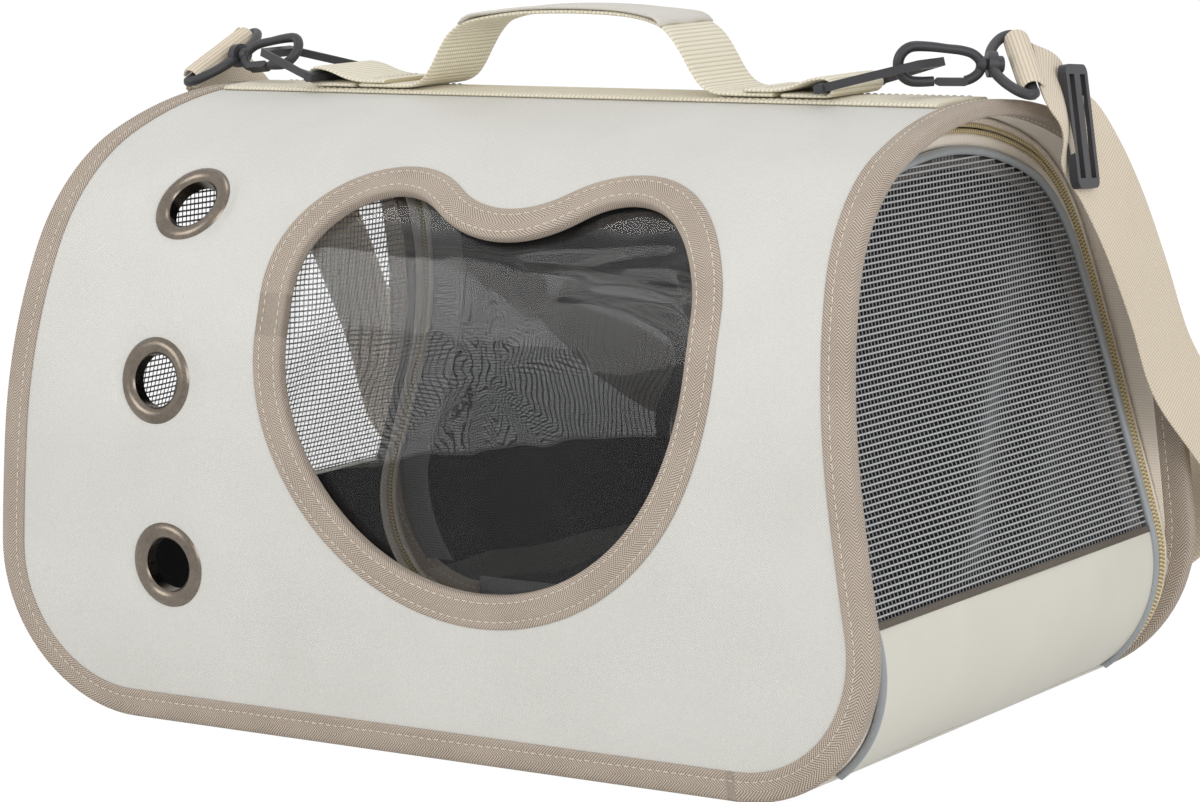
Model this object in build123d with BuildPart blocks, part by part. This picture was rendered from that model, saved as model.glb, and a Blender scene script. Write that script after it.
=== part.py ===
from build123d import *
import math
import os

os.makedirs("parts", exist_ok=True)

# Main sizes of the bag, in millimetres. X runs along the bag, the front is -Y, the table is Z = 0.
PANEL_LENGTH = 400.0
PANEL_DEPTH = 256.0
BAG_HEIGHT = 240.7

# Tunnel cross-section: walls that draw in a little at the foot, under a wide arch of three arcs a side
WALL_HEIGHT = 112.0
WALL_TAPER = 8.0
ARCH_RADIUS = 190.0
SHOULDER_RADIUS = 78.0
PROFILE_FOOT = -6.0

# Front view of the panel: straight foot, round corners, sides that lean in
CORNER_RADIUS = 60.0
SIDE_LEAN = 6.6
OUTLINE_OVER = 18.0

# Sheet thicknesses
BOARD = 3.6
LINING = 0.6
TAPE = 0.7
BINDING_WIDTH = 10.8
TUNNEL_REACH = 212.0

# Cat-ear window in the front: a round foot, straight cheeks, two ears and a notch between them
WINDOW_X = 32.5
WINDOW_RADIUS = 91.0
WINDOW_WAIST = 156.0
EAR_RADIUS = 39.0
EAR_Z = 171.5
NOTCH_Z = 196.0
WINDOW_BINDING = 11.6
WINDOW_LIP = 0.8
FILM = 0.4
FILM_MARGIN = 8.0

# Eyelets
EYELET_OUTER = 16.75
EYELET_BORE = 10.4
EYELET_BARREL = 11.5
EYELET_DOME = 1.7
EYELET_SEAT = 0.25
WASHER = 0.9
EYELET_TOP = (-117.5, 203.5)
EYELET_MIDDLE = (-118.0, 136.0)
EYELET_BOTTOM = (-115.0, 64.0)

# Ends: the base sheet turns up in a curl, the leaf leans in above it and then stands up
CURL_X = 142.0
CURL_RADIUS = 50.0
LEAF_LEAN = 17.0
LEAN_TOP = 100.0
LEAF_ARC = 450.0
TOP_LEAN = 2.0
BASE_SHEET = 3.0
STRIP_SHEET = 3.0
HINGE_ANGLE = 36.0
HINGE_GAP = 0.6
MESH_SHEET = 1.0
MESH_SET = 0.4
PIPING = 3.4
LEAF_INSET = 16.6
ZIP_GAP = 0.5
COIL_WIDTH = 1.9
COIL_HEIGHT = 2.0
ZIP_TAPE = 0.9
TAPE_LINE = 10.0

# Mesh gaps
GAP_COLUMNS = 11
GAP_ROWS = 11
GAP_BAR = 3.0

# Inside
SEAM_TAPE = 0.9
SEAM_WIDTH = 15.0
FLOOR_TAPE = 12.0
MAT_LENGTH = 268.0
MAT_SIDE = 10.6
MAT_RISE = 9.0
MAT_CROWN = 3.0
MAT_DRAW = 4.0
MAT_LIFT = 0.2

# Webbing on the ridge and the carry handle
WEBBING_WIDTH = 38.0
WEBBING = 1.6
RIDGE_HALF = 167.0
HANDLE_FOOT = 65.0
HANDLE_REACH = 78.0
HANDLE_SHOULDER = 52.0
HANDLE_ANGLE = 60.0
HANDLE_BEND = 9.0
HANDLE_ARC = 190.0
APEX_RISE = 33.0
GRIP_HALF = 44.0
GRIP_WIDTH = 24.0
GRIP_FLAT = 26.0

# Rings at both ends of the ridge
RING_X = 119.5
RING_TILT = 14.0
RING_WIRE = 4.0
RING_REACH = 34.0
RING_WIDE = 23.6
RING_NARROW = 9.5
RING_SHEET = 3.2
LOOP_PLAY = 0.4

# Snap hooks
HOOK_LENGTH = 35.0
HOOK_HEIGHT = 17.0
HOOK_WIRE = 4.0
GATE_WIRE = 3.0
GATE_LENGTH = 12.0
GATE_PLAY = 0.4
PIN_RADIUS = 2.0
PIN_PLAY = 0.35
COLLAR = 3.0
HEAD = 2.4
HEAD_RADIUS = 3.3
BOW_DEPTH = 11.0
BOW_WIRE = 4.0
BOW_INNER = 39.6
BOW_RADIUS = 6.0

# Shoulder strap
STRAP_WIDTH = 37.0
STRAP = 1.7
STRAP_STEPS = 60
GLIDE_LENGTH = 46.5
GLIDE_DEPTH = 20.0
GLIDE_WIRE = 3.6
GLIDE_PLAY = 0.3
GLIDE_LIFT = 0.2
GLIDE_SHEET = 3.4

# Zip slider and its pull
SLIDER_LENGTH = 11.0
SLIDER_WIDTH = 7.0
SLIDER_SHEET = 2.0
SLIDER_Z = 92.0
PULL_LENGTH = 24.0
PULL_WIDTH = 5.0
PULL_SHEET = 1.4
PULL_PLAY = 0.35
BRIDGE_SPAN = 6.2
BRIDGE_POST = 1.4
BRIDGE_WIDTH = 1.6
BRIDGE_ROOM = 2.4
BRIDGE_TOP = 0.9

HALF_LENGTH = PANEL_LENGTH / 2
HALF_DEPTH = PANEL_DEPTH / 2
SHELL = BOARD + LINING
RIDGE = BAG_HEIGHT - TAPE
ARCH_RISE = RIDGE - WALL_HEIGHT
FRONT_BOX = 60.0
MARGIN = 20.0


def unit(a, b):
    size = math.hypot(a, b)
    return (a / size, b / size)


def around(centre, radius, degrees):
    angle = math.radians(degrees)
    return (centre[0] + radius * math.cos(angle), centre[1] + radius * math.sin(angle))


def heading(start, end):
    return math.degrees(math.atan2(end[1] - start[1], end[0] - start[0]))


def between(centre, radius, first, last):
    """Start, middle and end of an arc, between two angles in degrees."""
    return [around(centre, radius, first + (last - first) * k / 2) for k in range(3)]


# The arcs of the right half of the cross-section: centre, radius, first and last angle
WALL_RADIUS = (WALL_HEIGHT ** 2 + WALL_TAPER ** 2) / (2 * WALL_TAPER)
WALL_CENTRE = (HALF_DEPTH - WALL_RADIUS, WALL_HEIGHT)
SIDE_CENTRE = (HALF_DEPTH - ARCH_RADIUS, WALL_HEIGHT)
CROWN_CENTRE = (0.0, RIDGE - ARCH_RADIUS)
SPAN_Y = CROWN_CENTRE[0] - SIDE_CENTRE[0]
SPAN_Z = CROWN_CENTRE[1] - SIDE_CENTRE[1]
SPAN = math.hypot(SPAN_Y, SPAN_Z)
SHOULDER_OUT = math.sqrt((ARCH_RADIUS - SHOULDER_RADIUS) ** 2 - (SPAN / 2) ** 2)
SHOULDER_CENTRE = (
    (SIDE_CENTRE[0] + CROWN_CENTRE[0]) / 2 - SPAN_Z / SPAN * SHOULDER_OUT,
    (SIDE_CENTRE[1] + CROWN_CENTRE[1]) / 2 + SPAN_Y / SPAN * SHOULDER_OUT,
)
LOW_JOIN = heading(SIDE_CENTRE, SHOULDER_CENTRE)
HIGH_JOIN = heading(CROWN_CENTRE, SHOULDER_CENTRE)
FOOT_ANGLE = -math.degrees(math.asin((WALL_HEIGHT - PROFILE_FOOT) / WALL_RADIUS))
PROFILE_ARCS = [
    (WALL_CENTRE, WALL_RADIUS, FOOT_ANGLE, 0.0),
    (SIDE_CENTRE, ARCH_RADIUS, 0.0, LOW_JOIN),
    (SHOULDER_CENTRE, SHOULDER_RADIUS, LOW_JOIN, HIGH_JOIN),
    (CROWN_CENTRE, ARCH_RADIUS, HIGH_JOIN, 90.0),
]


def profile_half(inset):
    """The right half of the cross-section as arcs of three points, moved inwards by inset."""
    return [between(centre, radius - inset, a, b) for centre, radius, a, b in PROFILE_ARCS]


def profile_whole(inset):
    right = profile_half(inset)
    left = [[(-y, z) for y, z in reversed(arc)] for arc in reversed(right)]
    return right + left


def wall_at(z):
    """Half depth of the outer face at height z, and its outward normal in the Y-Z plane."""
    for centre, radius, first, last in PROFILE_ARCS:
        if z <= around(centre, radius, last)[1] or last == 90.0:
            lift = min(max((z - centre[1]) / radius, -1.0), 1.0)
            angle = math.asin(lift)
            return centre[0] + radius * math.cos(angle), (math.cos(angle), math.sin(angle))


def tunnel(inset):
    """A solid tunnel along X with the cross-section moved inwards by inset."""
    arcs = profile_whole(inset)
    with BuildPart() as made:
        with BuildSketch(Plane.YZ):
            with BuildLine():
                for arc in arcs:
                    ThreePointArc(*arc)
                Line(arcs[-1][2], arcs[0][0])
            make_face()
        extrude(amount=TUNNEL_REACH, both=True)
    return made.part


def shell(outer, inner):
    """The tunnel wall between two insets, as one open ring run along X."""
    far = profile_whole(outer)
    near = profile_whole(inner)
    with BuildPart() as made:
        with BuildSketch(Plane.YZ):
            with BuildLine():
                for arc in far + near:
                    ThreePointArc(*arc)
                Line(far[-1][2], near[-1][2])
                Line(near[0][0], far[0][0])
            make_face()
        extrude(amount=TUNNEL_REACH, both=True)
    return made.part


def front_outline(inset):
    """Corner arc and top point of the panel's right side in front view, moved inwards by inset."""
    centre = (HALF_LENGTH - CORNER_RADIUS, TAPE + CORNER_RADIUS)
    corner = between(centre, CORNER_RADIUS - inset, -90.0, SIDE_LEAN)
    rise = BAG_HEIGHT + OUTLINE_OVER - corner[2][1]
    top = (corner[2][0] - rise * math.tan(math.radians(SIDE_LEAN)), BAG_HEIGHT + OUTLINE_OVER)
    return corner, top


def front_prism(inset, hole=None):
    """The panel's front view, moved inwards by inset and run through the whole depth."""
    with BuildPart() as made:
        with BuildSketch(Plane.XZ):
            for amount, mode in ((inset, Mode.ADD), (hole, Mode.SUBTRACT)):
                if amount is None:
                    continue
                corner, top = front_outline(amount)
                with BuildLine():
                    Line((-corner[0][0], corner[0][1]), corner[0])
                    ThreePointArc(*corner)
                    Polyline(corner[2], top, (-top[0], top[1]), (-corner[2][0], corner[2][1]))
                    ThreePointArc(*[(-x, z) for x, z in reversed(corner)])
                make_face(mode=mode)
        extrude(amount=HALF_DEPTH + MARGIN, both=True)
    return made.part


EAR_X = WINDOW_RADIUS - EAR_RADIUS
NOTCH_DROP = NOTCH_Z - EAR_Z
NOTCH_RADIUS = (EAR_X ** 2 + NOTCH_DROP ** 2 - EAR_RADIUS ** 2) / (2 * (EAR_RADIUS - NOTCH_DROP))
NOTCH_CENTRE = (0.0, NOTCH_Z + NOTCH_RADIUS)
EAR_JOIN = heading((EAR_X, EAR_Z), NOTCH_CENTRE)


def window_lines(grow):
    """The window opening about its own middle, moved outwards by grow."""
    ear = between((EAR_X, EAR_Z), EAR_RADIUS + grow, 0.0, EAR_JOIN)
    dip = between(NOTCH_CENTRE, NOTCH_RADIUS - grow, EAR_JOIN - 180.0, -EAR_JOIN)
    foot = between((0.0, WINDOW_WAIST), WINDOW_RADIUS + grow, -180.0, 0.0)
    ThreePointArc(*foot)
    Line(foot[2], ear[0])
    ThreePointArc(*ear)
    ThreePointArc(*dip)
    ThreePointArc(*[(-x, z) for x, z in reversed(ear)])
    Line((-ear[0][0], ear[0][1]), foot[0])


def window_prism(grow, hole=None):
    """The window opening, made larger by grow, through the front wall; hole leaves its middle out."""
    with BuildPart() as made:
        with BuildSketch(Plane.XZ.offset(FRONT_BOX).shift_origin((WINDOW_X, -FRONT_BOX, 0))):
            with BuildLine():
                window_lines(grow)
            make_face()
            if hole is not None:
                with BuildLine():
                    window_lines(hole)
                make_face(mode=Mode.SUBTRACT)
        extrude(amount=HALF_DEPTH)
    return made.part


# The outer face of the right end in the X-Z plane: curl, leaning line, long arc, upright line
CURL_CENTRE = (CURL_X, CURL_RADIUS)
SEAM_POINT = around(CURL_CENTRE, CURL_RADIUS, LEAF_LEAN)
LEAN_X = SEAM_POINT[0] - (LEAN_TOP - SEAM_POINT[1]) * math.tan(math.radians(LEAF_LEAN))
LEAF_CENTRE = around((LEAN_X, LEAN_TOP), LEAF_ARC, LEAF_LEAN)
FLOOR_LINE = -90.0
HINGE_LINE = HINGE_ANGLE - 90.0


def leaf_arc(offset):
    return between(LEAF_CENTRE, LEAF_ARC - offset, 180.0 + LEAF_LEAN, 180.0 + TOP_LEAN)


def leaf_top(offset):
    x, z = leaf_arc(offset)[2]
    rise = BAG_HEIGHT + MARGIN - z
    return (x - rise * math.tan(math.radians(TOP_LEAN)), z + rise)


def sheet_face(first, outer, inner, last=None):
    """A sheet along the end curve: from an angle of the curl to another one, or to the top."""
    stop = LEAF_LEAN if last is None else last
    lines = []
    for offset in (outer, inner):
        if first < stop:
            curl = between(CURL_CENTRE, CURL_RADIUS + offset, first, stop)
            ThreePointArc(*curl)
        else:
            curl = [around(CURL_CENTRE, CURL_RADIUS + offset, stop)]
        end = curl[-1]
        if last is None:
            arc = leaf_arc(offset)
            end = leaf_top(offset)
            Line(curl[-1], arc[0])
            ThreePointArc(*arc)
            Line(arc[2], end)
        lines.append((curl[0], end))
    Line(lines[0][0], lines[1][0])
    Line(lines[0][1], lines[1][1])


def band(first, outer, inner, last=None):
    """The sheet of sheet_face run along Y, through the whole depth."""
    with BuildPart() as made:
        with BuildSketch(Plane.XZ):
            with BuildLine():
                sheet_face(first, outer, inner, last)
            make_face()
        extrude(amount=HALF_DEPTH + MARGIN, both=True)
    return made.part


# Main panel, lining, film and their bindings
def eyelet_plane(place):
    x, z = place
    y, normal = wall_at(z)
    return Plane(origin=(x, -y, z), x_dir=(1, 0, 0), z_dir=(0, -normal[0], normal[1]))


def eyelet_sag(place):
    """How far the curved wall falls away under the rim of an eyelet."""
    z = place[1]
    low = wall_at(z - EYELET_OUTER / 2)[1]
    high = wall_at(z + EYELET_OUTER / 2)[1]
    turn = math.acos(min(1.0, low[0] * high[0] + low[1] * high[1]))
    return EYELET_OUTER * turn / 2 + EYELET_SEAT


EYELETS = {"top": EYELET_TOP, "middle": EYELET_MIDDLE, "bottom": EYELET_BOTTOM}


def eyelet_cut(place):
    frame = eyelet_plane(place)
    sag = eyelet_sag(place)
    with BuildPart() as made:
        with BuildSketch(frame.offset(-MARGIN)):
            Circle(EYELET_BARREL)
        extrude(amount=2 * MARGIN)
        with BuildSketch(frame.offset(-sag)):
            Circle(EYELET_OUTER + EYELET_SEAT)
        extrude(amount=MARGIN)
    return made.part


front_cuts = window_prism(0.0)
for spot in EYELETS.values():
    front_cuts = front_cuts + eyelet_cut(spot)

outline_solid = front_prism(0.0)

with BuildPart() as main_panel:
    add(shell(0.0, BOARD))
    add(outline_solid, mode=Mode.INTERSECT, clean=False)
    add(front_cuts, mode=Mode.SUBTRACT, clean=False)

with BuildPart() as panel_lining:
    add(shell(BOARD, SHELL))
    add(outline_solid, mode=Mode.INTERSECT, clean=False)
    add(front_cuts, mode=Mode.SUBTRACT, clean=False)

with BuildPart() as edge_binding:
    add(shell(-TAPE, SHELL + TAPE))
    add(front_prism(-TAPE, BINDING_WIDTH), mode=Mode.INTERSECT, clean=False)
    add(shell(0.0, SHELL).intersect(outline_solid), mode=Mode.SUBTRACT, clean=False)

with BuildPart() as window_film:
    add(shell(SHELL, SHELL + FILM))
    add(window_prism(FILM_MARGIN), mode=Mode.INTERSECT, clean=False)

with BuildPart() as window_skin:
    add(shell(-TAPE, 0.0))
    add(window_prism(WINDOW_BINDING, -WINDOW_LIP), mode=Mode.INTERSECT, clean=False)

with BuildPart() as window_binding:
    add(shell(0.0, SHELL))
    add(window_prism(0.0, -WINDOW_LIP), mode=Mode.INTERSECT, clean=False)
    add(window_skin.part, clean=False)


def eyelet(place):
    """Rolled metal eyelet: a domed flange outside and a barrel through the wall."""
    sag = eyelet_sag(place)
    foot = -sag
    deep = -(SHELL + sag + WASHER)
    mid = (EYELET_OUTER + EYELET_BORE) / 2
    with BuildPart() as made:
        with BuildSketch(Plane.XZ):
            with BuildLine():
                Polyline(
                    (EYELET_BORE, foot),
                    (EYELET_BORE, deep),
                    (EYELET_BARREL - EYELET_SEAT, deep),
                    (EYELET_BARREL - EYELET_SEAT, foot),
                    (EYELET_OUTER, foot),
                )
                ThreePointArc((EYELET_OUTER, foot), (mid, foot + EYELET_DOME), (EYELET_BORE, foot))
            make_face()
        revolve(axis=Axis.Z)
    return made.part.moved(eyelet_plane(place).location)


def washer(place):
    sag = eyelet_sag(place)
    with BuildPart() as made:
        with BuildSketch(eyelet_plane(place).offset(-(SHELL + sag + WASHER))):
            Circle(EYELET_OUTER - 1.0)
            Circle(EYELET_BARREL - EYELET_SEAT, mode=Mode.SUBTRACT)
        extrude(amount=WASHER)
    return made.part


with BuildPart() as eyelet_top:
    add(eyelet(EYELET_TOP))

with BuildPart() as eyelet_middle:
    add(eyelet(EYELET_MIDDLE))

with BuildPart() as eyelet_bottom:
    add(eyelet(EYELET_BOTTOM))

with BuildPart() as washer_top:
    add(washer(EYELET_TOP))

with BuildPart() as washer_middle:
    add(washer(EYELET_MIDDLE))

with BuildPart() as washer_bottom:
    add(washer(EYELET_BOTTOM))

# Base sheet with turned-up ends, seam tapes and mat
inner_room = tunnel(SHELL + TAPE)
curl_right = band(FLOOR_LINE, 0.0, -BASE_SHEET, HINGE_LINE)

with BuildPart() as base_panel:
    with BuildSketch(Plane.XZ):
        with Locations((0, BASE_SHEET / 2)):
            Rectangle(2 * CURL_X, BASE_SHEET)
    extrude(amount=HALF_DEPTH + MARGIN, both=True)
    add(curl_right)
    add(curl_right.mirror(Plane.YZ))
    add(inner_room, mode=Mode.INTERSECT, clean=False)


TAPE_WALL = wall_at(BASE_SHEET)[0] - SHELL - TAPE - SEAM_TAPE
MAT_DEPTH = 2 * (TAPE_WALL - MAT_SIDE)


def floor_tape(side):
    """Folded tape in the corner between the floor and a long wall."""
    wall = TAPE_WALL
    with BuildPart() as made:
        with BuildSketch(Plane.YZ):
            with Locations((side * (wall - FLOOR_TAPE / 2), BASE_SHEET + SEAM_TAPE / 2)):
                Rectangle(FLOOR_TAPE, SEAM_TAPE)
            with Locations((side * (wall + SEAM_TAPE / 4), BASE_SHEET + FLOOR_TAPE / 2)):
                Rectangle(SEAM_TAPE / 2, FLOOR_TAPE)
        extrude(amount=CURL_X, both=True)
    return made.part


with BuildPart() as floor_tape_front:
    add(floor_tape(-1))

with BuildPart() as floor_tape_back:
    add(floor_tape(1))

MAT_FOOT = BASE_SHEET + SEAM_TAPE + MAT_LIFT


def bowed_bar(length, depth, foot, rise, crown):
    """A long box whose top bulges by crown across its depth, along X."""
    with BuildPart() as made:
        with BuildSketch(Plane.YZ):
            with BuildLine():
                Polyline(
                    (depth / 2, foot + rise),
                    (depth / 2, foot),
                    (-depth / 2, foot),
                    (-depth / 2, foot + rise),
                )
                ThreePointArc(
                    (-depth / 2, foot + rise),
                    (0, foot + rise + crown),
                    (depth / 2, foot + rise),
                )
            make_face()
        extrude(amount=length / 2, both=True)
    return made.part


with BuildPart() as floor_mat:
    with BuildSketch(Plane.XY.offset(MAT_FOOT)):
        with BuildLine():
            ThreePointArc(
                (-MAT_LENGTH / 2, -MAT_DEPTH / 2),
                (0, -MAT_DEPTH / 2 + MAT_DRAW),
                (MAT_LENGTH / 2, -MAT_DEPTH / 2),
            )
            ThreePointArc(
                (MAT_LENGTH / 2, -MAT_DEPTH / 2),
                (MAT_LENGTH / 2 - MAT_DRAW, 0),
                (MAT_LENGTH / 2, MAT_DEPTH / 2),
            )
            ThreePointArc(
                (MAT_LENGTH / 2, MAT_DEPTH / 2),
                (0, MAT_DEPTH / 2 - MAT_DRAW),
                (-MAT_LENGTH / 2, MAT_DEPTH / 2),
            )
            ThreePointArc(
                (-MAT_LENGTH / 2, MAT_DEPTH / 2),
                (-MAT_LENGTH / 2 + MAT_DRAW, 0),
                (-MAT_LENGTH / 2, -MAT_DEPTH / 2),
            )
        make_face()
    extrude(amount=MAT_RISE + MAT_CROWN)
    fillet(floor_mat.edges().filter_by(Axis.Z), radius=MAT_RISE)
    add(
        bowed_bar(MAT_LENGTH + 2, MAT_DEPTH + 2, MAT_FOOT, MAT_RISE - MAT_CROWN, 2 * MAT_CROWN),
        mode=Mode.INTERSECT,
    )


# End leaves and their zips
leaf_room = tunnel(LEAF_INSET + PIPING)

with BuildPart() as door_mesh_right:
    add(band(LEAF_LEAN, -MESH_SET, -MESH_SET - MESH_SHEET))
    add(leaf_room, mode=Mode.INTERSECT, clean=False)

mesh_box = door_mesh_right.part.bounding_box()
GAP_PITCH_Y = (mesh_box.max.Y - mesh_box.min.Y) / GAP_COLUMNS
GAP_PITCH_Z = (mesh_box.max.Z - mesh_box.min.Z) / GAP_ROWS


with BuildPart() as gap_tools:
    with BuildSketch(Plane.YZ.offset(LEAN_X - 2 * MARGIN)):
        with Locations((0, (mesh_box.min.Z + mesh_box.max.Z) / 2)):
            with GridLocations(GAP_PITCH_Y, GAP_PITCH_Z, GAP_COLUMNS, GAP_ROWS):
                Rectangle(GAP_PITCH_Y - GAP_BAR, GAP_PITCH_Z - GAP_BAR)
    extrude(amount=4 * MARGIN)
    add(tunnel(LEAF_INSET + PIPING + GAP_BAR), mode=Mode.INTERSECT, clean=False)

with BuildPart() as net_right:
    add(door_mesh_right.part)
    add(gap_tools.part, mode=Mode.SUBTRACT, clean=False)

HINGE_START = HINGE_LINE + math.degrees(HINGE_GAP / CURL_RADIUS)

with BuildPart() as strip_right:
    add(band(HINGE_START, 0.0, -STRIP_SHEET, LEAF_LEAN))
    add(leaf_room, mode=Mode.INTERSECT, clean=False)

with BuildPart() as piping_right:
    add(band(HINGE_START, PIPING / 2, -PIPING / 2))
    add(shell(LEAF_INSET, LEAF_INSET + PIPING), mode=Mode.INTERSECT, clean=False)

leaf_coil_in = TAPE_LINE + ZIP_GAP / 2
bag_coil_out = TAPE_LINE - ZIP_GAP / 2

with BuildPart() as leaf_tape_right:
    add(band(HINGE_START, -COIL_HEIGHT / 2, -COIL_HEIGHT / 2 - ZIP_TAPE))
    add(shell(leaf_coil_in + COIL_WIDTH, LEAF_INSET), mode=Mode.INTERSECT, clean=False)

with BuildPart() as leaf_coil_right:
    add(band(HINGE_START, 0.0, -COIL_HEIGHT))
    add(shell(leaf_coil_in, leaf_coil_in + COIL_WIDTH), mode=Mode.INTERSECT, clean=False)

with BuildPart() as bag_tape_right:
    add(band(HINGE_LINE, -COIL_HEIGHT / 2, -COIL_HEIGHT / 2 - ZIP_TAPE))
    add(shell(SHELL + TAPE, bag_coil_out - COIL_WIDTH), mode=Mode.INTERSECT, clean=False)

with BuildPart() as bag_coil_right:
    add(band(HINGE_LINE, 0.0, -COIL_HEIGHT))
    add(shell(bag_coil_out - COIL_WIDTH, bag_coil_out), mode=Mode.INTERSECT, clean=False)

SEAM_FACE = -COIL_HEIGHT / 2 - ZIP_TAPE

with BuildPart() as seam_tape_right:
    add(band(HINGE_LINE + 6.0, SEAM_FACE, SEAM_FACE - SEAM_WIDTH))
    add(shell(SHELL, SHELL + SEAM_TAPE), mode=Mode.INTERSECT, clean=False)
    add(front_prism(BINDING_WIDTH), mode=Mode.INTERSECT, clean=False)


def slider_plane(z):
    """Frame over the bag's coil on the front side: X up the leaf, Z outwards."""
    lean = math.radians(LEAF_LEAN)
    x = SEAM_POINT[0] - (z - SEAM_POINT[1]) * math.tan(lean) + PULL_PLAY * math.cos(lean)
    y = wall_at(z)[0] - bag_coil_out + COIL_WIDTH / 2
    up = (-math.sin(lean), 0, math.cos(lean))
    return Plane(origin=(x, -y, z), x_dir=up, z_dir=(math.cos(lean), 0, math.sin(lean)))


slider_frame = slider_plane(SLIDER_Z)

with BuildPart() as slider_right:
    with BuildSketch(slider_frame):
        Rectangle(SLIDER_LENGTH, SLIDER_WIDTH / 2)
    extrude(amount=SLIDER_SHEET)
    with BuildSketch(slider_frame.offset(SLIDER_SHEET)):
        with Locations((-BRIDGE_SPAN / 2, 0), (BRIDGE_SPAN / 2, 0)):
            Rectangle(BRIDGE_POST, BRIDGE_WIDTH)
    extrude(amount=BRIDGE_ROOM)
    with BuildSketch(slider_frame.offset(SLIDER_SHEET + BRIDGE_ROOM)):
        Rectangle(BRIDGE_SPAN + BRIDGE_POST, BRIDGE_WIDTH)
    extrude(amount=BRIDGE_TOP)

PULL_Z = SLIDER_SHEET + BRIDGE_ROOM / 2
PULL_HEAD = PULL_SHEET / 2
BRIDGE_CORNER = math.hypot((BRIDGE_SPAN + BRIDGE_POST) / 2, BRIDGE_ROOM / 2 + BRIDGE_TOP)
EYE_FAR = BRIDGE_CORNER + PULL_PLAY
EYE_HALF = BRIDGE_WIDTH / 2 + PULL_PLAY

with BuildPart() as pull_right:
    with BuildSketch(slider_frame.offset(PULL_Z - PULL_SHEET / 2)):
        with Locations((PULL_HEAD - PULL_LENGTH / 2, 0)):
            Rectangle(PULL_LENGTH, PULL_WIDTH)
        with Locations((-(PULL_HEAD + EYE_FAR) / 2, 0)):
            Rectangle(EYE_FAR - PULL_HEAD, 2 * EYE_HALF, mode=Mode.SUBTRACT)
    extrude(amount=PULL_SHEET)

# Ridge webbing and carry handle
HALF_WEB = WEBBING_WIDTH / 2
UPPER = RIDGE + WEBBING

with BuildPart() as ridge_webbing:
    add(shell(-WEBBING, 0.0))
    with BuildSketch(Plane.XY.offset(RIDGE - MARGIN)):
        Rectangle(2 * RIDGE_HALF, WEBBING_WIDTH)
    extrude(amount=2 * MARGIN, mode=Mode.INTERSECT)

BAR = RING_WIRE / 2
LOOP_IN = BAR + LOOP_PLAY
LOOP_OUT = LOOP_IN + WEBBING
BAR_Z = UPPER + LOOP_OUT

# The right half of the handle's underside: flat foot, bend, straight leg, shoulder, wide arc
LEG_TURN = math.radians(HANDLE_ANGLE)
LEG_RUN = (-math.cos(LEG_TURN), math.sin(LEG_TURN))
FOOT_CENTRE = (HANDLE_FOOT + HANDLE_BEND * math.tan(LEG_TURN / 2), UPPER + HANDLE_BEND)
LEG_START = around(FOOT_CENTRE, HANDLE_BEND, -90.0 - HANDLE_ANGLE)
APEX_CENTRE = (0.0, UPPER + APEX_RISE - HANDLE_ARC)
BESIDE_X = LEG_START[0] - HANDLE_BEND * LEG_RUN[1] - APEX_CENTRE[0]
BESIDE_Z = LEG_START[1] + HANDLE_BEND * LEG_RUN[0] - APEX_CENTRE[1]
TOUCH = HANDLE_ARC - HANDLE_BEND
FORWARD = BESIDE_X * LEG_RUN[0] + BESIDE_Z * LEG_RUN[1]
LEG_LENGTH = math.sqrt(FORWARD ** 2 + TOUCH ** 2 - BESIDE_X ** 2 - BESIDE_Z ** 2) - FORWARD
TOP_CENTRE = (
    APEX_CENTRE[0] + BESIDE_X + LEG_LENGTH * LEG_RUN[0],
    APEX_CENTRE[1] + BESIDE_Z + LEG_LENGTH * LEG_RUN[1],
)
TOP_JOIN = heading(APEX_CENTRE, TOP_CENTRE)


def handle_side(lift, side):
    """Arcs and lines of one half of the handle, lifted off the underside by lift."""
    foot = between(FOOT_CENTRE, HANDLE_BEND - lift, -90.0, -90.0 - HANDLE_ANGLE)
    shoulder = between(TOP_CENTRE, HANDLE_BEND + lift, 90.0 - HANDLE_ANGLE, TOP_JOIN)
    apex = between(APEX_CENTRE, HANDLE_ARC + lift, TOP_JOIN, 90.0)
    rows = [[(side * x, z) for x, z in row] for row in (foot, shoulder, apex)]
    start = (side * HANDLE_REACH, UPPER + lift)
    Line(start, rows[0][0])
    for row in rows:
        ThreePointArc(*row)
    Line(rows[0][2], rows[1][0])
    return start


def handle_sheet(low, high):
    """The webbing of the handle between two lifts, full width."""
    with BuildPart() as made:
        with BuildSketch(Plane.XZ):
            with BuildLine():
                for side in (1, -1):
                    Line(handle_side(low, side), handle_side(high, side))
            make_face()
        extrude(amount=HALF_WEB, both=True)
    return made.part


def waist_prism(reach):
    """Plan view of the handle: full width at the legs, drawn together at the grip."""
    grip = GRIP_WIDTH / 2
    wide = HANDLE_SHOULDER + 3.0
    middle = ((wide + GRIP_FLAT) / 2, (HALF_WEB + grip) / 2)
    with BuildPart() as made:
        with BuildSketch(Plane.XY.offset(RIDGE - MARGIN)):
            Rectangle(2 * reach, WEBBING_WIDTH)
            for side in (1, -1):
                with BuildLine():
                    Line((-wide, side * HALF_WEB), (wide, side * HALF_WEB))
                    Line((-GRIP_FLAT, side * grip), (GRIP_FLAT, side * grip))
                    for end in (1, -1):
                        turn = (end * middle[0], side * middle[1])
                        TangentArc((end * wide, side * HALF_WEB), turn, tangent=(-end, 0))
                        TangentArc((end * GRIP_FLAT, side * grip), turn, tangent=(end, 0))
                make_face(mode=Mode.SUBTRACT)
        extrude(amount=5 * MARGIN)
    return made.part


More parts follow.
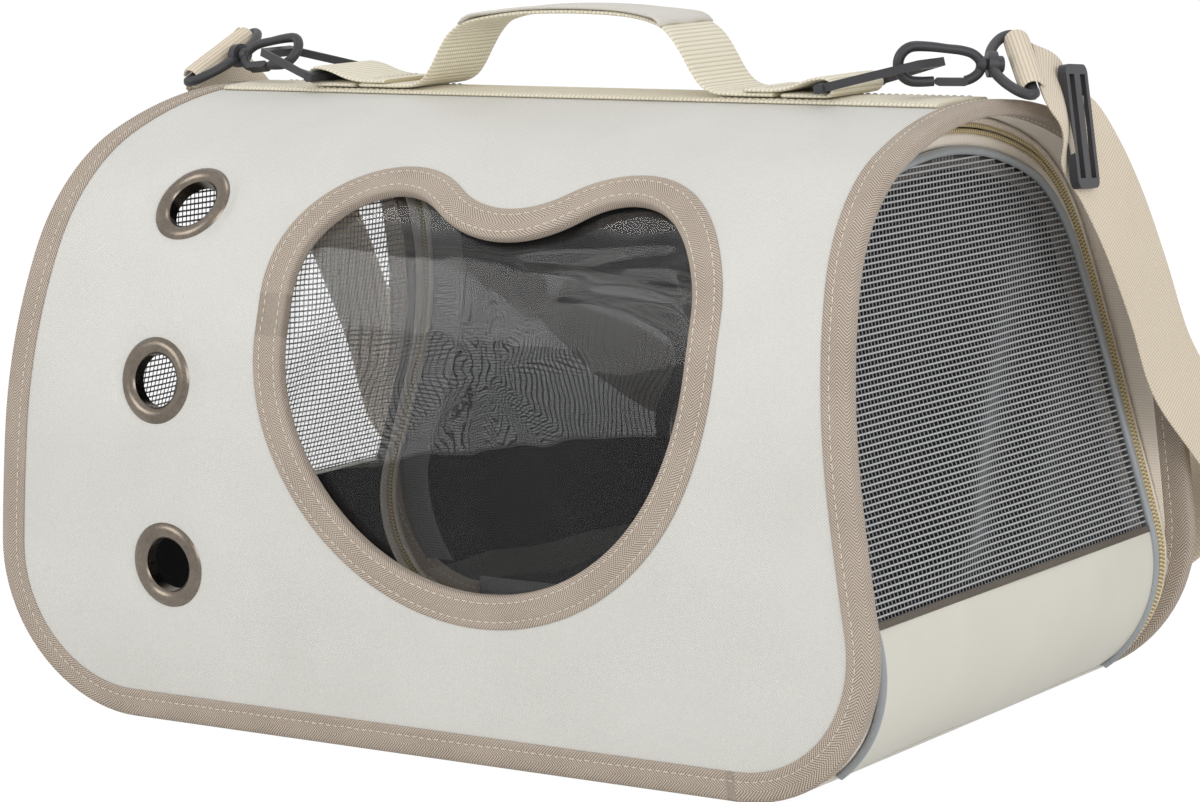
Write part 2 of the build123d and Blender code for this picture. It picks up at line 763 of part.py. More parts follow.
def ring_loop(side):
    """The fold of the webbing round a ring's bar, and its run to the handle."""
    start = HANDLE_REACH
    with BuildPart() as made:
        with BuildSketch(Plane.XZ):
            with Locations((side * RING_X, BAR_Z)):
                Circle(LOOP_OUT)
            with Locations((side * (start + RING_X) / 2, UPPER + WEBBING)):
                Rectangle(RING_X - start, 2 * WEBBING)
            with Locations((side * (RING_X - LOOP_OUT), UPPER + WEBBING)):
                Rectangle(LOOP_OUT * 1.6, 2 * WEBBING)
            with Locations((side * RING_X, BAR_Z)):
                Circle(LOOP_IN, mode=Mode.SUBTRACT)
        extrude(amount=HALF_WEB, both=True)
    return made.part


with BuildPart() as handle_webbing:
    add(handle_sheet(0.0, WEBBING))
    add(waist_prism(HANDLE_REACH), mode=Mode.INTERSECT, clean=False)
    add(ring_loop(1))
    add(ring_loop(-1))

with BuildPart() as handle_grip:
    add(handle_sheet(WEBBING, 2 * WEBBING))
    add(waist_prism(GRIP_HALF), mode=Mode.INTERSECT, clean=False)


# Rings, hooks and bows
def ring_frame(side):
    tilt = math.radians(RING_TILT)
    out = (side * math.cos(tilt), 0, math.sin(tilt))
    up = (-side * math.sin(tilt), 0, math.cos(tilt))
    return Plane(origin=(side * RING_X, 0, BAR_Z), x_dir=out, z_dir=up)


def ring(side):
    frame = ring_frame(side)
    tip = RING_REACH + RING_WIRE / 2
    slope = (RING_WIDE - RING_NARROW) / (tip - BAR)
    inner_wide = HALF_WEB + LOOP_PLAY + 0.2
    inner_tip = RING_REACH - RING_WIRE / 2
    inner_narrow = inner_wide - slope * (inner_tip - 7.0)
    with BuildPart() as made:
        with BuildSketch(frame.offset(-RING_SHEET / 2)):
            Polygon(
                (-BAR, -RING_WIDE),
                (tip, -RING_NARROW),
                (tip, RING_NARROW),
                (-BAR, RING_WIDE),
                align=None,
            )
            Polygon(
                (-BAR - 1, -inner_wide),
                (7.0, -inner_wide),
                (inner_tip, -inner_narrow),
                (inner_tip, inner_narrow),
                (7.0, inner_wide),
                (-BAR - 1, inner_wide),
                align=None,
                mode=Mode.SUBTRACT,
            )
        extrude(amount=RING_SHEET)
        with BuildSketch(Plane.XZ):
            with Locations((side * RING_X, BAR_Z)):
                Circle(BAR)
        extrude(amount=RING_WIDE, both=True)
    return made.part


def ring_tip(side):
    frame = ring_frame(side)
    return frame.from_local_coords(Vector(RING_REACH, 0, 0))


def hook_plane(side, azimuth, tilt, roll, slack):
    """Frame of a hook: X along it towards the strap, Z across its loop, origin at its nose."""
    turn = math.radians(azimuth)
    fall = math.radians(tilt)
    along = Vector(
        side * math.cos(turn) * math.cos(fall),
        math.sin(turn) * math.cos(fall),
        -math.sin(fall),
    )
    flat = Vector(side * math.sin(turn), -math.cos(turn), 0).normalized()
    rise = flat.cross(along) if side > 0 else along.cross(flat)
    if rise.Z < 0:
        rise = rise * -1
    spin = math.radians(roll)
    across = flat * math.cos(spin) + rise * math.sin(spin)
    nose = ring_tip(side) - along * (RING_WIRE / 2 + slack + HOOK_WIRE)
    return Plane(origin=tuple(nose), x_dir=tuple(along), z_dir=tuple(across))


RIGHT_HOOK = hook_plane(1, 40.0, 2.0, 0.0, 7.0)
LEFT_HOOK = hook_plane(-1, 8.0, 5.0, 35.0, 7.0)
HOOK_MIDDLE = HOOK_LENGTH / 2
PIN_START = HOOK_LENGTH
PIN_LENGTH = COLLAR + 0.6
GATE_START = HOOK_LENGTH - HOOK_HEIGHT / 2 - GATE_LENGTH + 1.5
GATE_END = HOOK_LENGTH - HOOK_HEIGHT / 2 + 1.5
GATE_PIVOT = GATE_END - GATE_WIRE / 2


def up_sign(frame):
    """Which local Y side of a hook's loop looks upwards."""
    return 1.0 if frame.y_dir.Z > 0 else -1.0


def hook(frame):
    sign = up_sign(frame)
    half = HOOK_WIRE / 2
    low = -sign * (HOOK_HEIGHT / 2 - HOOK_WIRE / 2)
    with BuildPart() as made:
        with BuildSketch(frame.offset(-half)):
            with Locations((HOOK_MIDDLE, 0)):
                SlotOverall(HOOK_LENGTH, HOOK_HEIGHT)
                SlotOverall(
                    HOOK_LENGTH - 2 * HOOK_WIRE,
                    HOOK_HEIGHT - 2 * HOOK_WIRE,
                    mode=Mode.SUBTRACT,
                )
            with Locations(((GATE_START + GATE_END) / 2, low)):
                Rectangle(
                    GATE_END - GATE_START + 2 * GATE_PLAY,
                    HOOK_WIRE + 1.0,
                    mode=Mode.SUBTRACT,
                )
        extrude(amount=HOOK_WIRE)
        pin = Plane(
            origin=tuple(frame.from_local_coords(Vector(PIN_START - 1.0, 0, 0))),
            x_dir=tuple(frame.z_dir),
            z_dir=tuple(frame.x_dir),
        )
        with BuildSketch(pin):
            Circle(PIN_RADIUS)
        extrude(amount=1.0 + PIN_LENGTH)
        with BuildSketch(pin.offset(1.0 + PIN_LENGTH)):
            Circle(HEAD_RADIUS)
        extrude(amount=HEAD)
    return made.part


def gate(frame):
    """The sprung tongue that closes the hook."""
    sign = up_sign(frame)
    low = -sign * (HOOK_HEIGHT / 2 - HOOK_WIRE / 2)
    length = GATE_END - GATE_START
    with BuildPart() as made:
        with BuildSketch(frame.offset(-HOOK_WIRE / 2)):
            with Locations(((GATE_START + GATE_END) / 2, low)):
                SlotOverall(length, GATE_WIRE)
        extrude(amount=HOOK_WIRE)
    return made.part


def bow_frame(frame, turn):
    """Frame of a bow: X along the hook, Y along the strap bar."""
    spin = math.radians(turn)
    bar = frame.z_dir * math.cos(spin) + frame.y_dir * math.sin(spin)
    face = frame.x_dir.cross(bar)
    start = frame.from_local_coords(Vector(PIN_START + 0.3, 0, 0))
    return Plane(origin=tuple(start), x_dir=tuple(frame.x_dir), z_dir=tuple(face))


RIGHT_BOW = bow_frame(RIGHT_HOOK, -27.0)
LEFT_BOW = bow_frame(LEFT_HOOK, 60.0)
BOW_BAR = COLLAR + BOW_DEPTH


def bow(frame):
    half = BOW_INNER / 2
    outer = half + BOW_WIRE
    bar_in = BOW_BAR - BOW_WIRE / 2
    bar_out = BOW_BAR + BOW_WIRE / 2
    with BuildPart() as made:
        with BuildSketch(frame.offset(-BOW_WIRE / 2)):
            Polygon(
                (0, -BOW_RADIUS),
                (BOW_BAR * 0.55, -outer),
                (bar_out, -outer),
                (bar_out, outer),
                (BOW_BAR * 0.55, outer),
                (0, BOW_RADIUS),
                align=None,
            )
            Polygon(
                (COLLAR, -BOW_RADIUS),
                (BOW_BAR * 0.55 + 1.6, -half),
                (bar_in, -half),
                (bar_in, half),
                (BOW_BAR * 0.55 + 1.6, half),
                (COLLAR, BOW_RADIUS),
                align=None,
                mode=Mode.SUBTRACT,
            )
        extrude(amount=BOW_WIRE)
        collar = Plane(
            origin=tuple(frame.origin),
            x_dir=tuple(frame.y_dir),
            z_dir=tuple(frame.x_dir),
        )
        with BuildSketch(collar):
            Circle(BOW_RADIUS - 1.0)
        extrude(amount=COLLAR)
        with BuildSketch(collar.offset(-1.0)):
            Circle(PIN_RADIUS + PIN_PLAY)
        extrude(amount=COLLAR + 2.0, mode=Mode.SUBTRACT)
        with BuildSketch(collar.offset(COLLAR)):
            Circle(HEAD_RADIUS + PIN_PLAY)
        extrude(amount=HEAD + 0.6, mode=Mode.SUBTRACT)
    return made.part


with BuildPart() as ring_right:
    add(ring(1))

with BuildPart() as ring_left:
    add(ring(-1))

with BuildPart() as hook_right:
    add(hook(RIGHT_HOOK))

with BuildPart() as hook_left:
    add(hook(LEFT_HOOK))

with BuildPart() as gate_right:
    add(gate(RIGHT_HOOK))

with BuildPart() as gate_left:
    add(gate(LEFT_HOOK))

with BuildPart() as bow_right:
    add(bow(RIGHT_BOW))

with BuildPart() as bow_left:
    add(bow(LEFT_BOW))

# Shoulder strap: places of its middle line, each with the direction of its lower edge
GLIDE_AT = Vector(190.0, 44.0, 228.0)
GLIDE_ACROSS = Vector(0.158, -0.07, -0.985)


def bar_centre(frame):
    return frame.from_local_coords(Vector(BOW_BAR, 0, 0))


def lower(vector):
    return vector if vector.Z < 0 else vector * -1


EYE_IN = BOW_WIRE * math.sqrt(0.5) + LOOP_PLAY
EYE_OUT = EYE_IN + STRAP
RIGHT_BAR = bar_centre(RIGHT_BOW)
LEFT_BAR = bar_centre(LEFT_BOW)
RIGHT_EXIT = RIGHT_BAR + RIGHT_BOW.x_dir * (EYE_IN + STRAP / 2)
LEFT_EXIT = LEFT_BAR + LEFT_BOW.x_dir * (EYE_IN + STRAP / 2)

RIGHT_TOP = [
    (RIGHT_EXIT, lower(RIGHT_BOW.y_dir)),
    (Vector(188.5, 34.0, 243.0), Vector(0.42, -0.45, -0.79)),
    (GLIDE_AT, GLIDE_ACROSS),
    (Vector(193.0, 58.0, 212.0), Vector(0.05, -0.45, -0.89)),
]
LEFT_TOP = [
    (LEFT_EXIT, lower(LEFT_BOW.y_dir)),
    (Vector(-196.0, 13.0, 243.5), Vector(0.0, -0.57, -0.82)),
    (Vector(-198.5, 27.5, 233.0), Vector(0.0, -0.57, -0.82)),
    (Vector(-198.0, 43.0, 219.0), Vector(0.0, -0.62, -0.78)),
    (Vector(-196.5, 58.5, 205.0), Vector(0.0, -0.68, -0.73)),
]
FALL = [
    (Vector(195.5, 74.0, 190.0), Vector(0.0, -0.72, -0.69)),
    (Vector(196.0, 94.0, 161.0), Vector(0.0, -0.76, -0.65)),
    (Vector(197.0, 111.0, 131.0), Vector(0.0, -0.78, -0.62)),
    (Vector(202.0, 129.0, 106.0), Vector(0.15, -0.74, -0.66)),
    (Vector(200.0, 142.0, 86.0), Vector(0.50, -0.55, -0.67)),
    (Vector(186.0, 146.5, 66.0), Vector(0.55, -0.10, -0.83)),
    (Vector(160.0, 144.0, 48.0), Vector(0.42, 0.0, -0.91)),
    (Vector(112.0, 141.0, 35.0), Vector(0.22, 0.0, -0.975)),
    (Vector(56.0, 140.0, 31.0), Vector(0.07, 0.0, -1.0)),
]
LOWEST = (Vector(0.0, 140.0, 30.0), Vector(0.0, 0.0, -1.0))


def flip_x(vector):
    return Vector(-vector.X, vector.Y, vector.Z)


mirrored = [(flip_x(at), flip_x(edge)) for at, edge in reversed(FALL)]
stations = RIGHT_TOP + FALL + [LOWEST] + mirrored + list(reversed(LEFT_TOP))
strap_points = [at for at, edge in stations]
strap_edges = [edge.normalized() for at, edge in stations]
with BuildLine(mode=Mode.PRIVATE) as strap_line:
    Spline([tuple(p) for p in strap_points])
strap_path = strap_line.edges()[0]
strap_shares = [strap_path.param_at_point(p) for p in strap_points]
print("strap length between the bows, mm:", round(strap_path.length, 1))


def strap_frame(share):
    """Frame at one place of the strap: X to its lower edge, Y through it, Z on along it."""
    k = 0
    while k < len(strap_shares) - 2 and strap_shares[k + 1] < share:
        k += 1
    part = (share - strap_shares[k]) / (strap_shares[k + 1] - strap_shares[k])
    part = min(max(part, 0.0), 1.0)
    edge = (strap_edges[k] * (1.0 - part) + strap_edges[k + 1] * part).normalized()
    along = strap_path.tangent_at(share)
    along = (along - edge * edge.dot(along)).normalized()
    return Plane(origin=tuple(strap_path.position_at(share)), x_dir=tuple(edge), z_dir=tuple(along))


def strap_piece(first, last, steps, room):
    """The strap between two shares of its length, thicker and wider by room all round."""
    with BuildPart() as made:
        for step in range(steps + 1):
            with BuildSketch(strap_frame(first + (last - first) * step / steps)):
                Rectangle(STRAP_WIDTH + 2 * room, STRAP + 2 * room)
        loft(ruled=True)
    return made.part


with BuildPart() as strap:
    add(strap_piece(0.0, 1.0, STRAP_STEPS, 0.0))

GLIDE_SHARE = strap_shares[2]
GLIDE_STEP = int(GLIDE_SHARE * STRAP_STEPS)
END_SPAN = 1.0 / STRAP_STEPS


def strap_eye(frame):
    """The sewn fold of the strap round a bow's bar."""
    side = Plane(
        origin=tuple(bar_centre(frame)),
        x_dir=tuple(frame.x_dir),
        z_dir=tuple(frame.y_dir),
    )
    with BuildPart() as made:
        with BuildSketch(side.offset(-STRAP_WIDTH / 2)):
            Circle(EYE_OUT)
            Circle(EYE_IN, mode=Mode.SUBTRACT)
        extrude(amount=STRAP_WIDTH)
    return made.part


with BuildPart() as strap_eye_right:
    add(strap_eye(RIGHT_BOW))
    add(strap_piece(0.0, END_SPAN, 1, GLIDE_PLAY / 2), mode=Mode.SUBTRACT, clean=False)

with BuildPart() as strap_eye_left:
    add(strap_eye(LEFT_BOW))
    add(strap_piece(1.0 - END_SPAN, 1.0, 1, GLIDE_PLAY / 2), mode=Mode.SUBTRACT, clean=False)


def glide():
    """Three-bar slider that the strap runs through."""
    place = strap_frame(GLIDE_SHARE)
    frame = Plane(
        origin=tuple(place.origin),
        x_dir=tuple(place.x_dir),
        z_dir=tuple(place.y_dir * -1),
    )
    slot = GLIDE_DEPTH / 2 - 1.5 * GLIDE_WIRE
    with BuildPart() as made:
        with BuildSketch(frame.offset(GLIDE_LIFT)):
            RectangleRounded(GLIDE_LENGTH, GLIDE_DEPTH, GLIDE_WIRE)
            with Locations((0, GLIDE_DEPTH / 4), (0, -GLIDE_DEPTH / 4)):
                Rectangle(WEBBING_WIDTH + 1.0, slot, mode=Mode.SUBTRACT)
        extrude(amount=GLIDE_SHEET)
    return made.part


GLIDE_FIRST = (GLIDE_STEP - 2) / STRAP_STEPS
GLIDE_LAST = (GLIDE_STEP + 3) / STRAP_STEPS

with BuildPart() as tri_glide:
    add(glide())
    add(strap_piece(GLIDE_FIRST, GLIDE_LAST, 5, GLIDE_PLAY), mode=Mode.SUBTRACT, clean=False)


# Left end: the same pieces, turned over the middle plane
def other_side(piece):
    with BuildPart() as made:
        add(piece.part.mirror(Plane.YZ), clean=False)
    return made


nodes = {
    "main_panel": main_panel,
    "panel_lining": panel_lining,
    "edge_binding": edge_binding,
    "window_film": window_film,
    "window_binding": window_binding,
    "eyelet_top": eyelet_top,
    "eyelet_middle": eyelet_middle,
    "eyelet_bottom": eyelet_bottom,
    "washer_top": washer_top,
    "washer_middle": washer_middle,
    "washer_bottom": washer_bottom,
    "base_panel": base_panel,
    "floor_tape_front": floor_tape_front,
    "floor_tape_back": floor_tape_back,
    "floor_mat": floor_mat,
    "ridge_webbing": ridge_webbing,
    "handle_webbing": handle_webbing,
    "handle_grip": handle_grip,
    "ring_right": ring_right,
    "ring_left": ring_left,
    "hook_right": hook_right,
    "hook_left": hook_left,
    "gate_right": gate_right,
    "gate_left": gate_left,
    "bow_right": bow_right,
    "bow_left": bow_left,
    "strap": strap,
    "strap_eye_right": strap_eye_right,
    "strap_eye_left": strap_eye_left,
    "tri_glide": tri_glide,
}

pairs = {
    "door_mesh": net_right,
    "door_strip": strip_right,
    "door_piping": piping_right,
    "door_tape": leaf_tape_right,
    "door_coil": leaf_coil_right,
    "bag_tape": bag_tape_right,
    "bag_coil": bag_coil_right,
    "seam_tape": seam_tape_right,
    "zip_slider": slider_right,
    "zip_pull": pull_right,
}

for name, piece in pairs.items():
    nodes[name + "_right"] = piece
    nodes[name + "_left"] = other_side(piece)

for name, piece in nodes.items():
    piece.part.label = name
    export_step(piece.part, "parts/" + name + ".step")
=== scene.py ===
import bpy
import math
import random
import numpy as np
from mathutils import Matrix, Vector, geometry, noise


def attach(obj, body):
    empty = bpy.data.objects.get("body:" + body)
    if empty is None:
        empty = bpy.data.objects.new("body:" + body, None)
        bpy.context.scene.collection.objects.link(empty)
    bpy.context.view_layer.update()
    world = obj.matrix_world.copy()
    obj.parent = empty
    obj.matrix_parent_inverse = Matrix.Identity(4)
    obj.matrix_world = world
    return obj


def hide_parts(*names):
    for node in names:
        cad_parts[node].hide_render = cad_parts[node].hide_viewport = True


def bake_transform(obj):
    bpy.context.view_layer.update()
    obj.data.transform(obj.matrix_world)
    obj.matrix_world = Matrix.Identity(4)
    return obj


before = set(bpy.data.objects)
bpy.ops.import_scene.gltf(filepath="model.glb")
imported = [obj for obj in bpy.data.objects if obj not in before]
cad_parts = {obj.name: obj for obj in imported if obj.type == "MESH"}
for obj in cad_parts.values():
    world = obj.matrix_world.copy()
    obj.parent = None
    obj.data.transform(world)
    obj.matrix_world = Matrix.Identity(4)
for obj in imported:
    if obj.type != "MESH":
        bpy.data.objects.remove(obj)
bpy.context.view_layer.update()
rng = random.Random(7)
MM = 0.001

# Sizes repeated from the solid model, in millimetres
BOARD, SHELL = 3.6, 4.2
BINDING, WINDOW_X, WINDOW_BINDING = 10.8, 32.5, 11.6
ARCS = [  # right half of the cross-section from the ridge down: centre, radius, top and foot angle
    (0.0, 50.0, 190.0, 90.0, 68.044),
    (41.87, 153.87, 78.0, 68.044, 21.956),
    (-62.0, 112.0, 190.0, 21.956, 0.0),
    (-660.0, 112.0, 788.0, 0.0, -8.12),
]
CORNER_X, CORNER_Z, CORNER_R, CORNER_TOP, RIM_LEAN = 140, 60.7, 60, 67.6, 6.6  # lower corner, lean
FOOT_X, FOOT_R, ROLL_TOP, ROLL_X = 142, 50, 64.619, 189.815  # the end's turned-up edge
HOLLOW_X, HOLLOW_Z, HOLLOW_R, HOLLOW_LOW, HOLLOW_TOP = 609.33, 231.57, 450, 100, 215.87
EYELETS = [(-117.5, 203.5), (-118.0, 136.0), (-115.0, 64.0)]
EYELET_BARREL = 11.5
LEAF_INSET, PIPING = 16.6, 3.4
WEB_WIDTH, WEB_THICK, STRAP_WIDTH, STRAP_THICK = 38.0, 1.6, 37.0, 1.7


# ---- tunnel and ends
def tunnel_point(s, n=0.0):
    """Point (y, z) and outward normal of the tunnel at arc length s from the ridge, lifted by n."""
    s = np.asarray(s, float)
    n = np.asarray(n, float) + 0 * s
    side = np.where(s < 0, -1.0, 1.0)
    left = np.abs(s)
    y, z, ny, nz = (np.zeros_like(s) for _ in range(4))
    start = 0.0
    for k, (cy, cz, r, top, foot) in enumerate(ARCS):
        length = r * math.radians(top - foot)
        here = (left >= start) & ((left < start + length) | (k == 3))
        a = math.radians(top) - (left - start) / r
        y = np.where(here, cy + (r + n) * np.cos(a), y)
        z = np.where(here, cz + (r + n) * np.sin(a), z)
        ny = np.where(here, np.cos(a), ny)
        nz = np.where(here, np.sin(a), nz)
        start += length
    return side * y, z, side * ny, nz


def s_at(z, n=0.0):
    """Arc length from the ridge down to height z, on the face lifted by n."""
    start = 0.0
    for k, (cy, cz, r, top, foot) in enumerate(ARCS):
        if z >= cz + (r + n) * math.sin(math.radians(foot)) or k == 3:
            a = math.asin(max(-1.0, min(1.0, (z - cz) / (r + n))))
            return start + r * (math.radians(top) - a)
        start += r * math.radians(top - foot)


FOOT_S = s_at(0.7)


def lift(s, x, n=0.0):
    y, z, _, _ = tunnel_point(s, n)
    return np.stack([np.asarray(x, float) + 0 * y, y, z], -1) * MM


def lift_normal(s):
    _, _, ny, nz = tunnel_point(s)
    return np.stack([0 * ny, ny, nz], -1)


def edge_x(z):
    """Half length of the panel at height z."""
    if z < CORNER_TOP:
        return CORNER_X + math.sqrt(max(0.0, CORNER_R ** 2 - (z - CORNER_Z) ** 2))
    return 199.6 - (z - CORNER_TOP) * math.tan(math.radians(RIM_LEAN))


def half_width(z, inset):
    """Half depth of the tunnel at height z, moved inwards by inset."""
    for k, (cy, cz, r, top, foot) in enumerate(ARCS):
        if z >= cz + (r - inset) * math.sin(math.radians(foot)) or k == 3:
            q = (z - cz) / (r - inset)
            return cy + (r - inset) * math.sqrt(max(0.0, 1 - q * q)) if q < 1 else 0.0


def end_at(z):
    """The right end's outer face at height z: x and outward normal (x, z)."""
    if z < ROLL_TOP:
        q = max(-1.0, (z - FOOT_R) / FOOT_R)
        return FOOT_X + FOOT_R * math.sqrt(1 - q * q), math.sqrt(1 - q * q), q
    if z < HOLLOW_LOW:
        t = math.radians(17)
        return ROLL_X - (z - ROLL_TOP) * math.tan(t), math.cos(t), math.sin(t)
    if z < HOLLOW_TOP:
        q = (z - HOLLOW_Z) / HOLLOW_R
        return HOLLOW_X - HOLLOW_R * math.sqrt(1 - q * q), math.sqrt(1 - q * q), -q
    t = math.radians(2)
    return 159.6 - (z - HOLLOW_TOP) * math.tan(t), math.cos(t), math.sin(t)


def end_point(side, y, z, out=0.0):
    x, nx, nz = end_at(z)
    return (side * (x + out * nx) * MM, y * MM, (z + out * nz) * MM)


def end_normal(side, z):
    _, nx, nz = end_at(z)
    return (side * nx, 0.0, nz)


def on_end(side, places, out=0.0):
    """Points and normals of an end face at places (..., 2) of (y, z), moved out by out."""
    places = np.asarray(places, float)
    flat = places.reshape(-1, 2)
    outs = np.broadcast_to(out, places.shape[:-1]).reshape(-1)
    points = [end_point(side, y, z, o) for (y, z), o in zip(flat, outs)]
    normals = [end_normal(side, z) for _, z in flat]
    return tuple(np.array(a).reshape(*places.shape[:-1], 3) for a in (points, normals))


def ease(share):
    """A soft step from 0 to 1."""
    share = np.clip(share, 0, 1)
    return share * share * (3 - 2 * share)


# ---- mesh helpers
def mesh_object(name, verts, faces, uv, material, sharp=None):
    me = bpy.data.meshes.new(name)
    me.from_pydata([tuple(v) for v in np.asarray(verts, float)], [], [tuple(f) for f in faces])
    layer = me.uv_layers.new(name="weave")
    index = np.zeros(len(me.loops), np.int32)
    me.loops.foreach_get("vertex_index", index)
    layer.data.foreach_set("uv", np.asarray(uv, np.float32)[index].ravel())
    me.polygons.foreach_set("use_smooth", [True] * len(me.polygons))
    me.validate()
    me.update()
    if sharp:
        me.set_sharp_from_angle(angle=math.radians(sharp))
    obj = bpy.data.objects.new(name, me)
    bpy.context.scene.collection.objects.link(obj)
    me.materials.append(material)
    return obj


def placed(obj, body, slot, *nodes):
    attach(obj, body)
    if nodes:
        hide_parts(*nodes)
    return obj

class Shape:
    """Vertices, faces and weave coordinates of one piece, collected part by part."""

    def __init__(self):
        self.verts, self.faces, self.uv, self.count = [], [], [], 0

    def add(self, verts, faces, uv):
        verts = np.asarray(verts, float).reshape(-1, 3)
        self.verts.append(verts)
        self.uv.append(np.asarray(uv, float).reshape(-1, 2))
        self.faces += [tuple(i + self.count for i in f) for f in faces]
        self.count += len(verts)

    def grid(self, points, uv, loop_u=False, loop_v=False, flip=False):
        """Faces over a grid of points (m, n, 3)."""
        m, n = points.shape[:2]
        faces = []
        for i in range(m if loop_u else m - 1):
            for j in range(n if loop_v else n - 1):
                a, b = i * n + j, i * n + (j + 1) % n
                c, d = ((i + 1) % m) * n + (j + 1) % n, ((i + 1) % m) * n + j
                faces.append((a, d, c, b) if flip else (a, b, c, d))
        self.add(points, faces, uv)

    def make(self, name, material, sharp=None):
        return mesh_object(
            name, np.concatenate(self.verts), self.faces, np.concatenate(self.uv), material, sharp
        )


def slab(shape, mid, normal, thick, uv):
    """A closed sheet round a grid of middle points (m, n, 3), with a thickness at each."""
    m, n = mid.shape[:2]
    half = (np.asarray(thick, float) + np.zeros((m, n)))[..., None] * MM / 2
    top, bottom = mid + normal * half, mid - normal * half
    index = np.arange(m * n).reshape(m, n)
    low = index + m * n
    faces = []
    for i in range(m - 1):
        for j in range(n - 1):
            faces.append((index[i, j], index[i + 1, j], index[i + 1, j + 1], index[i, j + 1]))
            faces.append((low[i, j], low[i, j + 1], low[i + 1, j + 1], low[i + 1, j]))
    for i in range(m - 1):
        faces.append((index[i, 0], low[i, 0], low[i + 1, 0], index[i + 1, 0]))
        faces.append((index[i, n - 1], index[i + 1, n - 1], low[i + 1, n - 1], low[i, n - 1]))
    for j in range(n - 1):
        faces.append((index[0, j], index[0, j + 1], low[0, j + 1], low[0, j]))
        faces.append((index[m - 1, j], low[m - 1, j], low[m - 1, j + 1], index[m - 1, j + 1]))
    flat = uv.reshape(-1, 2)
    points = np.concatenate([top.reshape(-1, 3), bottom.reshape(-1, 3)])
    shape.add(points, faces, np.concatenate([flat, flat]))


def across_places(count, width, thick):
    """Places across a webbing, closer together at its edges."""
    inner = np.linspace(-width / 2 + thick * 0.7, width / 2 - thick * 0.7, count - 6)
    e = np.array([0.0, 0.12, 0.4]) * thick * 0.7
    return np.concatenate([-width / 2 + e, inner, (width / 2 - e)[::-1]])


def unit(v):
    v = np.asarray(v, float)
    return v / np.maximum(np.linalg.norm(v, axis=-1, keepdims=True), 1e-12)


def between(t, first, last, a, b):
    return (last - t) / (last - first) * a + (t - first) / (last - first) * b


def smooth_curve(points, step, closed=False):
    """Points about step apart along a smooth curve through the given ones."""
    p = np.asarray(points, float)
    k = len(p)
    if closed:
        ext = np.concatenate([p[-1:], p, p[:2]])
    else:
        ext = np.concatenate([2 * p[:1] - p[1:2], p, 2 * p[-1:] - p[-2:-1]])
    out = []
    for i in range(k if closed else k - 1):
        a, b, c, d = ext[i:i + 4]
        t1 = max(np.linalg.norm(b - a), 1e-9) ** 0.5
        t2 = t1 + max(np.linalg.norm(c - b), 1e-9) ** 0.5
        t3 = t2 + max(np.linalg.norm(d - c), 1e-9) ** 0.5
        n = max(2, int(np.linalg.norm(c - b) / step))
        t = np.linspace(t1, t2, n, endpoint=False)[:, None]
        pieces = between(t, 0, t1, a, b), between(t, t1, t2, b, c), between(t, t2, t3, c, d)
        pair = between(t, 0, t2, *pieces[:2]), between(t, t1, t3, *pieces[1:])
        out.append(between(t, t1, t2, *pair))
    if not closed:
        out.append(p[-1:])
    return np.concatenate(out)


def lengths(points):
    return np.concatenate([[0], np.cumsum(np.linalg.norm(np.diff(points, axis=0), axis=1))])
def uv_grid(u, v):
    return np.stack(np.broadcast_arrays(u[:, None], v[None]), -1)


def tube(shape, points, radius, normal, sides=8, closed=False):
    """A round tube along points in metres; normal gives a side direction, once or at each point."""
    p = np.asarray(points, float)
    along = unit(np.roll(p, -1, 0) - np.roll(p, 1, 0)) if closed else unit(np.gradient(p, axis=0))
    n = np.asarray(normal, float) + 0 * p
    n = unit(n - along * np.sum(n * along, 1, keepdims=True))
    b = np.cross(along, n)
    a = np.linspace(0, 2 * math.pi, sides, endpoint=False)
    r = (np.asarray(radius, float) + np.zeros(len(p)))[:, None, None]
    spokes = n[:, None] * np.cos(a)[None, :, None] + b[:, None] * np.sin(a)[None, :, None]
    ring = p[:, None] + r * spokes
    uv = uv_grid(lengths(p), a * float(np.mean(r)))
    shape.grid(ring, uv, loop_u=closed, loop_v=True, flip=True)
    if not closed:
        for end, flip in ((0, False), (len(p) - 1, True)):
            face = tuple(range(sides))
            shape.add(ring[end], [face[::-1] if flip else face], uv[end])


def stitches(shape, points, outward, size=2.2, pitch=3.4, radius=0.22, jitter=0.12):
    """A row of thread stitches along points in metres, standing on the face whose normal is outward."""
    u = lengths(points) / MM
    count = int(u[-1] / pitch)
    outward = outward + 0 * points
    ring = [(0.0, 0.35), (0.22, 0.95), (0.78, 0.95), (1.0, 0.35)]  # along the stitch, share of its radius
    for k in range(count):
        at = (k + 0.5) * pitch
        ends = [
            np.array([np.interp(at + e * size / 2, u, points[:, c]) for c in range(3)]) for e in (-1, 1)
        ]
        n = np.array([np.interp(at, u, outward[:, c]) for c in range(3)])
        t = unit(ends[1] - ends[0])
        n = unit(n - t * np.dot(n, t))
        b = np.cross(t, n)
        shift = b * rng.uniform(-jitter, jitter) * MM
        verts = []
        for f, w in ring:
            rise = n * (radius * 0.5 * (1 if 0 < f < 1 else -0.4)) * MM
            c = ends[0] + (ends[1] - ends[0]) * f + shift + rise
            for a in range(6):
                q = a * math.pi / 3
                verts.append(c + (n * math.cos(q) + b * math.sin(q)) * radius * w * MM)
        faces = [
            (i * 6 + a, i * 6 + (a + 1) % 6, i * 6 + 6 + (a + 1) % 6, i * 6 + 6 + a)
            for i in range(3) for a in range(6)
        ]
        faces += [tuple(range(5, -1, -1)), tuple(range(18, 24))]
        uv = [(f * size * MM, a * 0.0003) for f, w in ring for a in range(6)]
        shape.add(verts, faces, uv)


